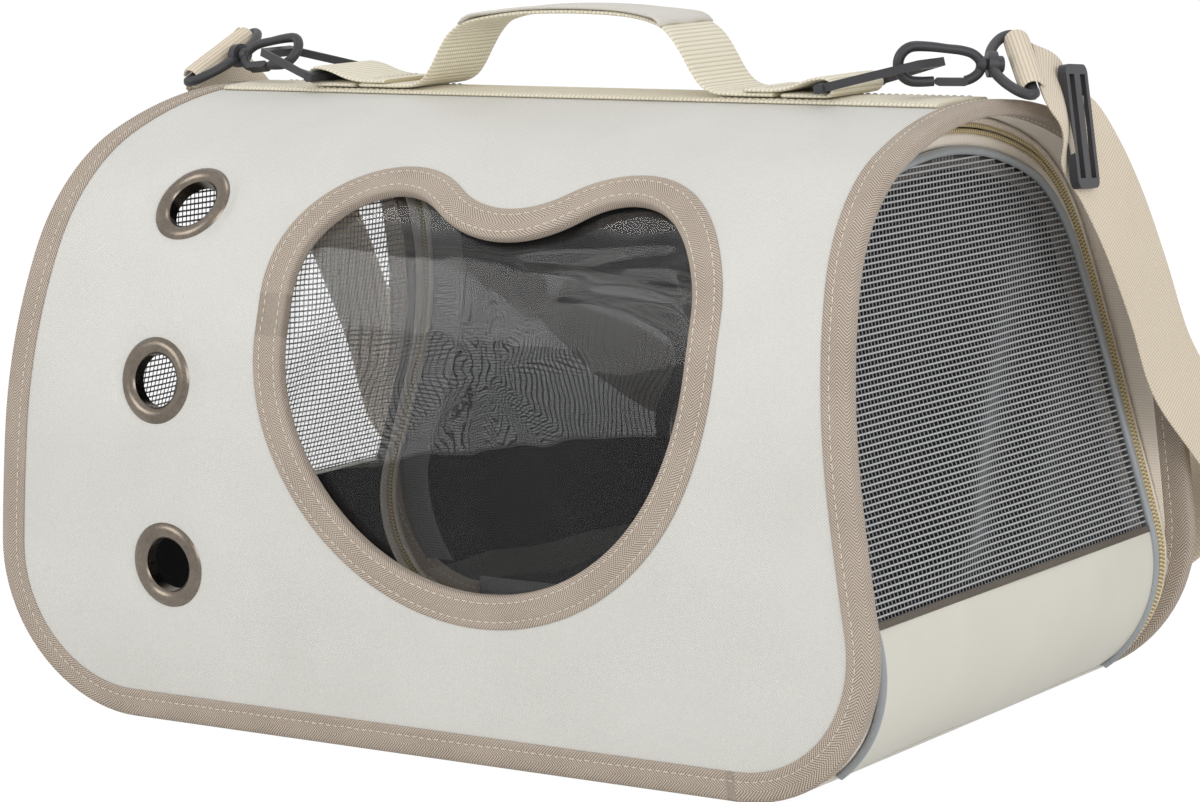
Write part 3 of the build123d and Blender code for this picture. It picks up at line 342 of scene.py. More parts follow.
# ---- materials
def add_node(tree, kind, *inputs, **settings):
    """A node with its settings, and its inputs in order as values or sockets to join."""
    n = tree.nodes.new(kind)
    for key, value in settings.items():
        setattr(n, key, value)
    for i, value in enumerate(inputs):
        if isinstance(value, bpy.types.NodeSocket):
            tree.links.new(value, n.inputs[i])
        elif value is not None:
            n.inputs[i].default_value = value
    return n


class Paint:
    """A node material with a few short ways to join nodes."""

    def __init__(self, name, **sockets):
        self.material = bpy.data.materials.new(name)
        self.material.use_nodes = True
        self.tree = self.material.node_tree
        self.shader = self.tree.nodes["Principled BSDF"]
        for key, value in sockets.items():
            self.shader.inputs[key.replace("_", " ")].default_value = value

    def node(self, kind, *inputs, **settings):
        return add_node(self.tree, "ShaderNode" + kind, *inputs, **settings)

    def math(self, op, *inputs):
        return self.node("Math", *inputs, operation=op).outputs[0]

    def total(self, *parts):
        """The sum of values times weights, given in pairs."""
        *first, last = parts
        value = self.math("MULTIPLY", *last)
        for part in reversed(first):
            value = self.math("MULTIPLY_ADD", *part, value)
        return value

    def weave(self):
        split = self.node("SeparateXYZ", self.node("UVMap", uv_map="weave").outputs[0])
        return split.outputs[0], split.outputs[1]

    def place(self):
        return self.node("TexCoord").outputs["Object"]

    def noise(self, scale, detail=2.0, rough=0.5, vector=None):
        n = self.node("TexNoise")
        n.inputs["Scale"].default_value = scale
        n.inputs["Detail"].default_value = detail
        n.inputs["Roughness"].default_value = rough
        self.tree.links.new(vector or self.place(), n.inputs["Vector"])
        return n.outputs[0]

    def wave(self, value, pitch, phase=0.0):
        """Sine of a length in metres, from 0 to 1."""
        turn = self.math("MULTIPLY_ADD", value, 2 * math.pi / pitch, phase)
        return self.math("MULTIPLY_ADD", self.math("SINE", turn), 0.5, 0.5)

    def ramp(self, value, *stops):
        n = self.node("ValToRGB", value)
        ramp = n.color_ramp
        while len(ramp.elements) < len(stops):
            ramp.elements.new(0.5)
        for element, (place, colour) in zip(ramp.elements, stops):
            element.position = place
            element.color = (*colour, 1)
        return n.outputs[0]

    def span(self, value, low, high):
        n = self.node("MapRange", value)
        n.inputs["To Min"].default_value = low
        n.inputs["To Max"].default_value = high
        return n.outputs[0]

    def finish(self, colour=None, rough=None, height=None, strength=0.3, distance=0.0004):
        if colour is not None:
            self.tree.links.new(colour, self.shader.inputs["Base Color"])
        if rough is not None:
            self.tree.links.new(rough, self.shader.inputs["Roughness"])
        if height is not None:
            bump = self.node("Bump")
            bump.inputs["Strength"].default_value = strength
            bump.inputs["Distance"].default_value = distance
            self.tree.links.new(height, bump.inputs["Height"])
            self.tree.links.new(bump.outputs[0], self.shader.inputs["Normal"])
        return self.material


def srgb(r, g, b):
    return tuple(((c / 255 + 0.055) / 1.055) ** 2.4 if c > 10 else c / 3294 for c in (r, g, b))


def panel_paint():
    p = Paint("panel_twill")
    u, v = p.weave()
    a = p.wave(p.math("ADD", u, v), 0.00125)
    b = p.wave(p.math("SUBTRACT", u, v), 0.00125)
    weave = p.math("MULTIPLY", a, b)
    tone = p.total((p.noise(900, 2), 0.35), (weave, 0.55), (p.noise(26, 3), 0.3))
    colour = p.ramp(tone, (0.15, srgb(196, 194, 188)), (0.85, srgb(222, 221, 216)))
    return p.finish(colour, p.span(weave, 0.5, 0.62), weave, 0.22, 0.00018)


def binding_paint(name, dark, light):
    """Twill tape: small ribs that meet in a chevron, with the dots of the weft between them."""
    p = Paint(name)
    u, v = p.weave()
    fold = p.math("PINGPONG", v, 0.0036)
    a = p.wave(p.math("ADD", u, fold), 0.0012)
    b = p.wave(p.math("SUBTRACT", u, fold), 0.00105)
    dots = p.math("MULTIPLY", a, p.math("MULTIPLY_ADD", b, 0.65, 0.35))
    tone = p.total((p.noise(2600, 2), 0.28), (p.noise(40, 2), 0.16), (dots, 0.8))
    middle = tuple((x + y) / 2 for x, y in zip(dark, light))
    colour = p.ramp(tone, (0.12, dark), (0.5, middle), (0.9, light))
    return p.finish(colour, p.span(dots, 0.85, 0.66), dots, 0.55, 0.0003)


def webbing_paint(name, dark, light, pitch=0.0019, strength=0.75):
    """Ribs across the webbing, broken by its warp yarns."""
    p = Paint(name, Sheen_Weight=0.12)
    u, v = p.weave()
    rib = p.math("ABSOLUTE", p.math("SINE", p.math("MULTIPLY", u, math.pi / pitch)))
    rib = p.math("POWER", rib, 0.55)
    step = p.math("MULTIPLY", p.math("FLOOR", p.math("DIVIDE", u, pitch)), math.pi)
    warp = p.math("MULTIPLY_ADD", p.wave(v, 0.00135, step), 0.42, 0.58)
    height = p.math("MULTIPLY", rib, warp)
    tone = p.total((p.noise(3000, 2), 0.2), (p.noise(30, 2), 0.14), (height, 0.85))
    middle = tuple((x + 2 * y) / 3 for x, y in zip(dark, light))
    colour = p.ramp(tone, (0.15, dark), (0.55, middle), (0.92, light))
    return p.finish(colour, p.span(height, 0.88, 0.7), height, strength, 0.00045)


def smooth_cloth(name, dark, light, scale, rough, strength=0.12, sheen=0.0, gloss=0.5):
    p = Paint(name, Specular_IOR_Level=gloss, Sheen_Weight=sheen)
    fine = p.noise(scale, 3, 0.6)
    colour = p.ramp(p.total((fine, 0.4), (p.noise(22, 3), 0.6)), (0.25, dark), (0.75, light))
    return p.finish(colour, p.span(fine, *rough), fine, strength, 0.0002)


def thread_paint(name, dark, light):
    p = Paint(name)
    u, v = p.weave()
    ply = p.wave(p.math("MULTIPLY_ADD", v, 3.0, u), 0.0007)
    colour = p.ramp(ply, (0.1, dark), (0.8, light))
    return p.finish(colour, p.span(ply, 0.8, 0.6), ply, 0.4, 0.0001)


def coil_paint():
    p = Paint("coil_gold")
    u, _ = p.weave()
    tooth = p.wave(u, 0.0016)
    colour = p.ramp(tooth, (0.1, srgb(146, 126, 88)), (0.8, srgb(222, 206, 164)))
    return p.finish(colour, p.span(tooth, 0.6, 0.36), tooth, 0.3, 0.0002)


def plastic_paint():
    p = Paint("plastic_black", Specular_IOR_Level=0.45)
    grain = p.noise(2400, 3, 0.65)
    tone = p.total((grain, 0.45), (p.noise(70, 3), 0.55))
    colour = p.ramp(tone, (0.2, srgb(38, 38, 41)), (0.8, srgb(66, 66, 70)))
    return p.finish(colour, p.span(tone, 0.36, 0.58), grain, 0.16, 0.00012)


def metal_paint():
    p = Paint("metal_dark", Metallic=1.0)
    scratch = p.noise(700, 4, 0.7)
    tone = p.total((scratch, 0.5), (p.noise(90, 2), 0.5))
    colour = p.ramp(tone, (0.2, srgb(92, 84, 76)), (0.8, srgb(140, 130, 119)))
    return p.finish(colour, p.span(scratch, 0.2, 0.38), scratch, 0.06, 0.0001)


def film_paint():
    p = Paint(
        "film_clear", Transmission_Weight=1.0, IOR=1.42, Alpha=0.15, Coat_Weight=1.0, Coat_Roughness=0.32
    )
    cloud = p.noise(35, 3)
    colour = p.ramp(cloud, (0.2, srgb(236, 238, 239)), (0.8, srgb(252, 253, 253)))
    return p.finish(colour, p.span(cloud, 0.005, 0.03), cloud, 0.05, 0.0003)


PANEL = panel_paint()
BIND = binding_paint("binding_taupe", srgb(104, 89, 76), srgb(220, 206, 191))
STRAP = webbing_paint("webbing_strap", srgb(176, 160, 134), srgb(229, 216, 196), 0.0013, 0.5)
WEB = webbing_paint("webbing_ivory", srgb(186, 174, 142), srgb(238, 232, 213))
ZIPTAPE = webbing_paint("tape_cream", srgb(224, 210, 194), srgb(250, 242, 231), 0.0011, 0.25)
SEAM = webbing_paint("seam_grey", srgb(92, 92, 94), srgb(140, 140, 142), 0.0012, 0.4)
GRIP = smooth_cloth(
    "grip_cloth", srgb(196, 191, 182), srgb(217, 213, 205), 1300, (0.55, 0.7), 0.2, 0.1
)
EVA = smooth_cloth(
    "strip_cream", srgb(207, 204, 192), srgb(220, 217, 206), 2200, (0.42, 0.55), 0.08
)
LINING = smooth_cloth(
    "lining_dark", srgb(42, 42, 44), srgb(58, 58, 60), 1500, (0.8, 0.95), 0.3, 0.0, 0.1
)
MAT = smooth_cloth(
    "mat_dark", srgb(122, 122, 124), srgb(158, 158, 160), 1200, (0.8, 0.95), 0.5, 0.2, 0.15
)
PIPE = smooth_cloth(
    "piping_grey", srgb(136, 140, 143), srgb(166, 170, 173), 1500, (0.34, 0.46), 0.1
)
FLANGE = smooth_cloth(
    "flange_brown", srgb(92, 86, 80), srgb(120, 113, 105), 1800, (0.7, 0.85), 0.3, 0.0, 0.2
)
NET = thread_paint("mesh_grey", srgb(158, 160, 161), srgb(218, 219, 220))
# painted shade: the same grey yarn painted darker, for the upright threads of the net
NET_PAINTED_SHADE = thread_paint("mesh_grey_painted_shade", srgb(106, 107, 109), srgb(162, 163, 165))
CREAM_THREAD = thread_paint("thread_cream", srgb(206, 196, 178), srgb(243, 237, 223))
BROWN_THREAD = thread_paint("thread_brown", srgb(84, 74, 66), srgb(140, 126, 112))
COIL = coil_paint()
PLASTIC = plastic_paint()
METAL = metal_paint()
FILM = film_paint()


# ---- camera, light, floor
def stand_camera():
    """The photograph's camera, fitted to the panel's outline in its 1200 x 802 pixels."""
    yaw, pitch, roll = math.radians(34.19), math.radians(8.55), math.radians(-1.32)
    focal, away, aim = 3899.25, 1.5405, (593.1, 396.87)
    back = Vector((math.sin(yaw) * math.cos(pitch), -math.cos(yaw) * math.cos(pitch), math.sin(pitch)))
    flat = Vector((math.cos(yaw), math.sin(yaw), 0))
    rise = back.cross(flat)
    right = flat * math.cos(roll) + rise * math.sin(roll)
    up = rise * math.cos(roll) - flat * math.sin(roll)
    over, under = (aim[0] - 600) * away / focal, (401 - aim[1]) * away / focal
    eye = Vector((0, 0, 0.12)) + back * away - right * over - up * under
    data = bpy.data.cameras.new("camera")
    data.sensor_width = 36.0
    data.lens = focal * 36.0 / 1200
    data.clip_start, data.clip_end = 0.05, 30
    cam = bpy.data.objects.new("camera", data)
    cam.matrix_world = Matrix.Translation(eye) @ Matrix((right, up, back)).transposed().to_4x4()
    bpy.context.scene.collection.objects.link(cam)
    bpy.context.scene.camera = cam


def lamp(name, place, target, size, power, colour=(1, 1, 1)):
    data = bpy.data.lights.new(name, "AREA")
    data.shape = "RECTANGLE"
    data.size, data.size_y = size
    data.energy = power
    data.color = colour
    obj = bpy.data.objects.new(name, data)
    obj.location = place
    obj.rotation_euler = (Vector(target) - Vector(place)).to_track_quat("-Z", "Y").to_euler()
    bpy.context.scene.collection.objects.link(obj)


def seen_white(tree):
    """1 for the rays that show the background: straight, in a gloss and through glass."""
    path = add_node(tree, "ShaderNodeLightPath").outputs
    add, total = "ShaderNodeMath", path["Is Camera Ray"]
    for kind in ("Is Transmission Ray", "Is Glossy Ray"):
        total = add_node(tree, add, total, path[kind], operation="ADD", use_clamp=True).outputs[0]
    return total


def light_scene():
    world = bpy.data.worlds.new("studio")
    bpy.context.scene.world = world
    world.use_nodes = True
    tree = world.node_tree
    soft = tree.nodes["Background"]
    soft.inputs[1].default_value = 0.7
    soft.inputs[0].default_value = (1, 1, 1, 1)
    white = add_node(tree, "ShaderNodeBackground", (1, 1, 1, 1), 1.0)
    mix = add_node(tree, "ShaderNodeMixShader", seen_white(tree), soft.outputs[0], white.outputs[0])
    tree.links.new(mix.outputs[0], tree.nodes["World Output"].inputs[0])
    # the lamps are about as bright as the white round them, so they don't stand out in a gloss
    lamp("key", (-1.1, -2.05, 1.25), (0, 0, 0.12), (1.3, 1.0), 14.4, (1.0, 0.995, 0.985))
    lamp("fill", (2.0, -1.2, 0.95), (0.1, 0, 0.12), (1.3, 1.05), 16.3, (0.995, 0.998, 1.0))
    lamp("top", (0.1, 0.3, 2.3), (0, 0, 0.2), (0.8, 0.5), 4.5)


def lay_floor():
    me = bpy.data.meshes.new("floor")
    me.from_pydata([(-6, -6, 0), (6, -6, 0), (6, 6, 0), (-6, 6, 0)], [], [(0, 1, 2, 3)])
    obj = bpy.data.objects.new("floor", me)
    obj.location.z = -0.0002
    bpy.context.scene.collection.objects.link(obj)
    p = Paint("floor_pale", Roughness=0.8)
    p.finish(p.ramp(p.noise(60, 2), (0.3, (0.80, 0.80, 0.79)), (0.7, (0.83, 0.83, 0.82))))
    glow = p.node("Emission", (1, 1, 1, 1), 1.06)
    share = p.math("MULTIPLY", seen_white(p.tree), 0.92)
    mix = p.node("MixShader", share, p.shader.outputs[0], glow.outputs[0])
    p.tree.links.new(mix.outputs[0], p.tree.nodes["Material Output"].inputs[0])
    me.materials.append(p.material)


bpy.context.scene.view_settings.view_transform = "Standard"
stand_camera()
light_scene()
lay_floor()


# ---- outlines on the unrolled wall (s, x)
def arc(cx, cz, r, first, last, count):
    a = np.radians(np.linspace(first, last, count))
    return np.stack([cx + r * np.cos(a), cz + r * np.sin(a)], 1)


def rim_loop(step=4.0):
    """The panel's rim, once round: up the right side over the ridge and back along the left."""
    turn = np.radians(np.linspace(-90, RIM_LEAN, 22))
    corner = [(CORNER_X + CORNER_R * math.cos(a), CORNER_Z + CORNER_R * math.sin(a)) for a in turn]
    front = [(-s_at(z), x) for x, z in corner]
    s_top = front[-1][0]
    over = np.linspace(s_top, -s_top, int(2 * -s_top / step))[1:-1]
    ridge = [(s, edge_x(float(tunnel_point(s)[1]))) for s in over]
    right = front + ridge + [(-s, x) for s, x in reversed(front)]
    left = [(s, -x) for s, x in reversed(right)]
    xs = np.linspace(CORNER_X, -CORNER_X, int(2 * CORNER_X / step))[1:-1]
    return np.array(right + [(FOOT_S, x) for x in xs] + left + [(-FOOT_S, -x) for x in xs])


def window_loop(grow=0.0, step=4.0):
    """The cat-ear window's outline, once round, as (s, x)."""
    ear_x, ear_r, waist, ear_z, notch_z, half_wide = 52.0, 39.0, 156.0, 171.5, 196.0, 91.0
    drop = notch_z - ear_z
    nr = (ear_x ** 2 + drop ** 2 - ear_r ** 2) / (2 * (ear_r - drop))
    join = math.degrees(math.atan2(notch_z + nr - ear_z, -ear_x))
    r = half_wide + grow
    parts = [
        arc(0, waist, r, -180, 0, int(math.pi * r / step)),
        arc(ear_x, ear_z, ear_r + grow, 0, join, int(ear_r * 2 / step) + 6),
        arc(0, notch_z + nr, nr - grow, join - 180, -join, max(6, int(nr * 0.8 / step) + 4)),
        arc(ear_x, ear_z, ear_r + grow, join, 0, int(ear_r * 2 / step) + 6) * [-1, 1],
    ]
    path = np.concatenate([*parts[:2], *(p[1:] for p in parts[2:])])
    kept, too_near = [path[0]], 0.6
    for point in path[1:]:
        if np.linalg.norm(point - kept[-1]) > too_near:
            kept.append(point)
    if np.linalg.norm(kept[0] - kept[-1]) < too_near:
        kept.pop()
    return np.array([(-s_at(z), x + WINDOW_X) for x, z in kept])


def circle_loop(place, radius, count=40):
    x, z = place
    middle = -s_at(z)
    a = np.linspace(0, 2 * math.pi, count, endpoint=False)
    return np.stack([middle + radius * np.sin(a), x + radius * np.cos(a)], 1)


def outward_normals(loop):
    t = unit(np.roll(loop, -1, 0) - np.roll(loop, 1, 0))
    n = np.stack([t[:, 1], -t[:, 0]], 1)
    x, y = loop[:, 0], loop[:, 1]
    turn = np.sum(x * np.roll(y, -1) - y * np.roll(x, -1))
    return n if turn > 0 else -n


def inside(points, loop):
    x, y = points[:, 0], points[:, 1]
    hit = np.zeros(len(points), bool)
    for (ax, ay), (bx, by) in zip(loop, np.roll(loop, -1, 0)):
        cross = (ay > y) != (by > y)
        at = ax + (y - ay) * (bx - ax) / ((by - ay) if by != ay else 1e-12)
        hit ^= cross & (x < at)
    return hit


def near(points, loop, gap):
    tight = np.zeros(len(points), bool)
    for k in range(0, len(points), 4000):
        d = points[k:k + 4000, None] - loop[None]
        tight[k:k + 4000] = (d ** 2).sum(2).min(1) < gap * gap
    return tight


def wall_mesh(outer, holes, step, extra=()):
    """Triangles over the unrolled wall inside one loop and outside the others, through extra points."""

    def within(points):
        keep = inside(points, outer)
        for hole in holes:
            keep &= ~inside(points, hole)
        return keep

    low, high = outer.min(0), outer.max(0)
    gs, gx = np.arange(low[0], high[0], step), np.arange(low[1], high[1], step)
    grid = np.stack(np.meshgrid(gs, gx, indexing="ij"), -1).reshape(-1, 2)
    grid = grid[within(grid)]
    for loop in [outer, *holes, *extra]:
        grid = grid[~near(grid, loop, step * 0.55)]
    loops, edges, start = [outer, *holes], [], 0
    for loop in loops:
        edges += [(start + i, start + (i + 1) % len(loop)) for i in range(len(loop))]
        start += len(loop)
    every = np.concatenate(loops + [grid, *extra])
    made = geometry.delaunay_2d_cdt([Vector(p) for p in every], edges, [], 0, 1e-6)
    verts = np.array([tuple(v) for v in made[0]])
    tris = np.array([f for f in made[2] if len(f) == 3])
    tris = tris[within(verts[tris].mean(1))]
    p = verts[tris]
    area = np.cross(p[:, 1] - p[:, 0], p[:, 2] - p[:, 0])
    tris[area > 0] = tris[area > 0][:, ::-1]
    return verts, tris


def wall_sheet(name, verts, tris, top, bottom, material):
    """A closed sheet on the wall between two heights over its outer face."""
    s, x = verts[:, 0], verts[:, 1]
    count = len(verts)
    faces = [tuple(t) for t in tris] + [tuple(t[::-1] + count) for t in tris]
    seen = dict.fromkeys(e for a, b, c in tris for e in ((a, b), (b, c), (c, a)))
    faces += [(b, a, a + count, b + count) for a, b in seen if (b, a) not in seen]
    uv = np.stack([x, s], 1) * MM
    points = np.concatenate([lift(s, x, top), lift(s, x, bottom)])
    return mesh_object(name, points, faces, np.concatenate([uv, uv]), material, sharp=45)


def wall_band(shape, loop, section):
    """A closed band along a loop of the unrolled wall; section is (out of the loop, over the face)."""
    normal = outward_normals(loop)
    section = np.array(section, float)
    s = loop[:, 0][:, None] + normal[:, 0][:, None] * section[:, 0][None]
    x = loop[:, 1][:, None] + normal[:, 1][:, None] * section[:, 0][None]
    points = lift(s, x, section[:, 1][None] + 0 * s)
    uv = uv_grid(lengths(points[:, 0]), lengths(section) * MM)
    shape.grid(points, uv, loop_u=True, loop_v=True, flip=True)


def wall_row(loop, out, over):
    """Points and face normals along a loop moved out by out, lifted by over, and closed."""
    normal = outward_normals(loop)
    s, x = loop[:, 0] + normal[:, 0] * out, loop[:, 1] + normal[:, 1] * out
    points, up = lift(s, x, over), lift_normal(s)
    return np.concatenate([points, points[:1]]), np.concatenate([up, up[:1]])


# ---- panel, lining, bindings, film
RIM = rim_loop()
WINDOW = window_loop()
HOLES = [circle_loop(place, EYELET_BARREL - 0.1) for place in EYELETS]
SEATS = [circle_loop(place, r, 44) for place in EYELETS for r in (14.2, 17.2, 19.0, 21.2, 23.6)]
EYELET_RIM = 16.75


def eyelet_seat(s, x):
    """How far the wall is pressed in round the eyelets, whose flat rims sit under its curve."""
    total = 0.0 * s
    for ex, ez in EYELETS:
        y0, z0, ny, nz = (float(v) for v in tunnel_point(-s_at(ez)))
        low, high = (tunnel_point(-s_at(ez + d * EYELET_RIM / 2)) for d in (-1, 1))
        turn = math.acos(min(1.0, float(low[2] * high[2] + low[3] * high[3])))
        y, z, _, _ = tunnel_point(s)
        over = (y - y0) * ny + (z - z0) * nz
        far = np.hypot((y - y0) * nz - (z - z0) * ny, x - ex)
        share = 1 - ease((far - 17.2) / 8.0)
        total += share * np.minimum(0, -(EYELET_RIM * turn / 2 + 0.31) - over)
    return total


wall_verts, wall_tris = wall_mesh(RIM, [WINDOW, *HOLES], 5.0, SEATS)
seat = eyelet_seat(wall_verts[:, 0], wall_verts[:, 1])
panel = wall_sheet("main_panel_cloth", wall_verts, wall_tris, seat, seat - BOARD, PANEL)
placed(panel, "bag", "panel_twill", "main_panel")
lining = wall_sheet("lining_cloth", wall_verts, wall_tris, seat - BOARD - 0.02, seat - SHELL, LINING)
placed(lining, "bag", "lining_dark", "panel_lining")

binding = Shape()
wall_band(binding, RIM, [
    (-BINDING, 0.02), (-BINDING, 0.45), (-BINDING + 0.5, 0.72), (-8.4, 0.82), (-7.4, 0.55),
    (-6.4, 0.82), (-4.0, 0.95), (-1.6, 0.9), (-0.2, 0.62), (0.45, 0.1), (0.7, -0.9), (0.7, -3.2),
    (0.45, -4.3), (-0.2, -4.75), (-1.6, -4.95), (-6.4, -4.95), (-7.4, -4.7), (-8.4, -4.95),
    (-BINDING + 0.4, -4.9), (-BINDING, -4.6), (-BINDING, -4.22), (-0.02, -4.22), (-0.02, 0.02),
])
placed(binding.make("edge_binding_tape", BIND), "bag", "binding_taupe", "edge_binding")
rim_thread = Shape()
for over, turn in ((0.62, 1), (-4.78, -1)):
    row, up = wall_row(RIM, -7.4, over)
    stitches(rim_thread, row, up * turn)
placed(rim_thread.make("edge_binding_stitches", CREAM_THREAD), "bag", "binding_taupe")

window_tape = Shape()
wall_band(window_tape, WINDOW[::-1], [
    (WINDOW_BINDING, 0.02), (WINDOW_BINDING, 0.45), (WINDOW_BINDING - 0.5, 0.72), (9.6, 0.8),
    (8.8, 0.52), (8.0, 0.8), (5.0, 0.92), (1.5, 0.9), (0.2, 0.72), (-0.55, 0.3), (-0.8, -0.6),
    (-0.8, -3.2), (-0.5, -4.0), (-0.02, -4.18), (-0.02, 0.02),
])
placed(window_tape.make("window_binding_tape", BIND), "bag", "binding_taupe", "window_binding")
window_thread = Shape()
for out, over in ((8.8, 0.6), (1.6, 0.9)):
    stitches(window_thread, *wall_row(WINDOW, out, over))
placed(window_thread.make("window_stitches", CREAM_THREAD), "bag", "binding_taupe")


def film_height(s, x):
    """The film's sag and wrinkles, in millimetres under its seat."""
    middle_s, middle_x = -s_at(150.0), WINDOW_X
    far = np.hypot(s - middle_s, x - middle_x) / 95
    free = np.clip(1 - far ** 3, 0, 1)
    turn = np.arctan2(x - middle_x, s - middle_s)
    rays = np.sin(9 * turn + 3 * far) * 0.16 + np.sin(17 * turn + 1.3) * 0.05
    soft = np.array([noise.noise(Vector((a * 0.018, b * 0.022, 3.1))) for a, b in zip(s, x)])
    top_s = -s_at(196.0)
    creases = 0.0 * s  # they run from the notch to the upper right corner
    for k, (drop, wide, deep) in enumerate(((4.0, 3.4, 1.1), (13.0, 3.0, 0.9), (21.0, 4.2, 0.8))):
        line = top_s - drop - 0.0011 * (x - 78.0) ** 2 - 3.0 * np.sin((x - 20.0) / 21.0 + k)
        creases += deep * np.exp(-((s - line) / wide) ** 2) * np.clip((x - 34.0) / 26.0, 0, 1)
    rays *= np.clip(far * 1.4, 0, 1)
    return -(free * (1.3 + 0.7 * soft + rays) + np.clip(free * 4, 0, 1) * creases)


film_loop = window_loop(8.0, 3.2)
film_verts, film_tris = wall_mesh(film_loop, [], 2.8)
sag = np.minimum(film_height(film_verts[:, 0], film_verts[:, 1]), 0)
FILM_OUTER, FILM_INNER = -4.28, -4.6
film = wall_sheet(
    "window_film_sheet", film_verts, film_tris, FILM_OUTER + sag, FILM_INNER + sag, FILM
)
placed(film, "bag", "film_clear", "window_film")


# ---- webbing on the ridge, handle and grip
def ribbon(shape, path, across, width, thick, count=14, crown=None):
    """A webbing along path (m, 3) in mm, with its across directions; crown lifts it by place."""
    path = np.asarray(path, float)
    across = unit(np.asarray(across, float) + 0 * path)
    along = unit(np.gradient(path, axis=0))
    across = unit(across - along * np.sum(across * along, 1, keepdims=True))
    normal = np.cross(along, across)
    width = np.asarray(width, float) + np.zeros(len(path))
    share = across_places(count, 1.0, 0.045)
    places = width[:, None] * share[None]
    mid = path[:, None] + across[:, None] * places[..., None]
    u = lengths(path)[:, None]
    if crown is not None:
        mid = mid + normal[:, None] * crown(u, places)[..., None]
    d = np.clip((0.5 - np.abs(share)) / 0.045 * 0.7, 0, 1)
    t = thick * np.sqrt(np.clip(1 - (1 - d) ** 2, 0.06, 1))
    slab(shape, mid * MM, normal[:, None], t, np.stack([u + 0 * places, places], -1) * MM)


ridge = Shape()
xs = np.linspace(-167, 167, 120)
ss = across_places(16, WEB_WIDTH, WEB_THICK)
mid = np.stack([lift(ss, x, 0.82) for x in xs])
thick = np.interp(ss, [-19, -18, 18, 19], [0.5, WEB_THICK, WEB_THICK, 0.5])
slab(ridge, mid, lift_normal(ss), thick, uv_grid(xs, ss) * MM)
placed(ridge.make("ridge_webbing_band", WEB), "bag", "webbing_ivory", "ridge_webbing")

HALF = [  # the handle's middle line (x, z), from its foot to its crest
    (97.0, 242.5), (86.0, 242.45), (77.0, 242.5), (70.6, 243.0), (65.6, 245.2), (61.9, 249.2),
    (57.4, 256.3), (52.9, 262.6), (47.4, 267.0), (38.5, 269.5), (24.0, 271.4), (9.0, 272.1),
]
LOOP = [  # the loop that holds the flat ring
    (97.0, 244.2), (104.0, 245.4), (111.5, 247.9), (116.4, 248.9), (119.9, 248.85), (122.4, 247.0),
    (122.6, 244.6), (120.6, 242.75), (117.4, 242.45), (108.0, 242.4), (100.5, 242.4),
]
CREST = [(47.8, 266.7), (43.5, 268.5), (38.5, 269.55), (24.0, 271.4), (9.0, 272.1)]  # the grip's


def both_halves(line, step, rise=0.0):
    """A smooth curve through a line (x, z) and its mirror image."""
    whole = line + [(-x, z) for x, z in reversed(line)]
    return smooth_curve([(x, 0.0, z + rise) for x, z in whole], step)


handle = Shape()
path = both_halves(HALF, 2.0)
width = 24 + 14 * ease((np.abs(path[:, 0]) - 26) / 29)
ribbon(handle, path, (0, 1, 0), width, WEB_THICK, 16)
for side in (1, -1):
    loop = smooth_curve([(side * x, 0, z) for x, z in [(84.0, 244.05)] + LOOP], 1.2)
    ribbon(handle, loop, (0, 1, 0), WEB_WIDTH, WEB_THICK, 16)
placed(handle.make("handle_webbing_band", WEB), "bag", "webbing_ivory", "handle_webbing")

grip = Shape()
top = both_halves(CREST, 1.6, 1.9)
total = lengths(top)[-1]


def grip_crown(u, v):
    """Folded cloth: a soft crown along the middle, and two small lips at each open end."""
    end = np.clip(1 - np.minimum(u, total - u) / 4.0, 0, 1)
    lips = 0.55 + 0.45 * np.cos(v / 19 * 2 * math.pi)
    return 0.55 * (1 - (v / 14) ** 2).clip(-0.6, 1) * (1 - end) + end * end * 1.1 * lips


width = 24.6 + 14 * ease((np.abs(top[:, 0]) - 24) / 27)
ribbon(grip, top, (0, 1, 0), width, 1.5, 18, grip_crown)
placed(grip.make("handle_grip_cloth", GRIP), "bag", "webbing_ivory", "handle_grip")

web_thread = Shape()
for side in (1, -1):
    for s in (-17.3, 17.3):
        xs = np.linspace(72, 164, 60) * side
        at = np.full(60, s)
        stitches(web_thread, lift(at, xs, 1.68), lift_normal(at), pitch=3.1)
    for x0, z0 in ((74.0, 243.32), (92.0, 245.1)):
        ys = np.linspace(-16, 16, 30)
        row = np.stack([np.full(30, side * x0), ys, np.full(30, z0)], 1) * MM
        stitches(web_thread, row, np.array([0.0, 0, 1.0]), pitch=3.0)
placed(web_thread.make("webbing_stitches", CREAM_THREAD), "bag", "webbing_ivory")


# ---- ends
Z_HINGE = 9.9
TAPE_OUT, STITCH_OUT, COIL_OUT = -1.45, -0.95, -1.0  # of the zip, over the end face
HEM_ROWS = (64.2, 65.4, 66.8)
SEAM_WIDTH = 15


def end_row(side, inset, out, z0=Z_HINGE, step=3.0):
    """Points up one long wall, over the arch and down the other, inset from the wall."""
    # heights follow the inset cross-section's own arc length
    s_low = s_at(z0, -inset)
    rows = np.linspace(-s_low, s_low, int(2 * s_low / step))
    y, z, _, _ = tunnel_point(rows, -inset)
    return on_end(side, np.stack([y, z], 1), out)


def end_band(shape, side, insets, out, thick, z0=Z_HINGE):
    """A band along the end's wall between several insets, brought to one count of rows."""
    rows = [end_row(side, d, out, z0) for d in insets]
    count = min(len(points) for points, _ in rows)
    columns = []
    for row in rows:
        at, i = np.linspace(0, len(row[0]) - 1, count), np.arange(len(row[0]))
        columns.append([np.stack([np.interp(at, i, a[:, c]) for c in range(3)], 1) for a in row])
    mid = np.stack([points for points, _ in columns], 1)
    normal = unit(np.stack([normals for _, normals in columns], 1))
    uv = uv_grid(lengths(mid[:, 0]), np.array(insets) * MM)
    if side < 0:
        mid, normal, uv = mid[::-1], normal[::-1], uv[::-1]
    slab(shape, mid, normal, thick, uv)


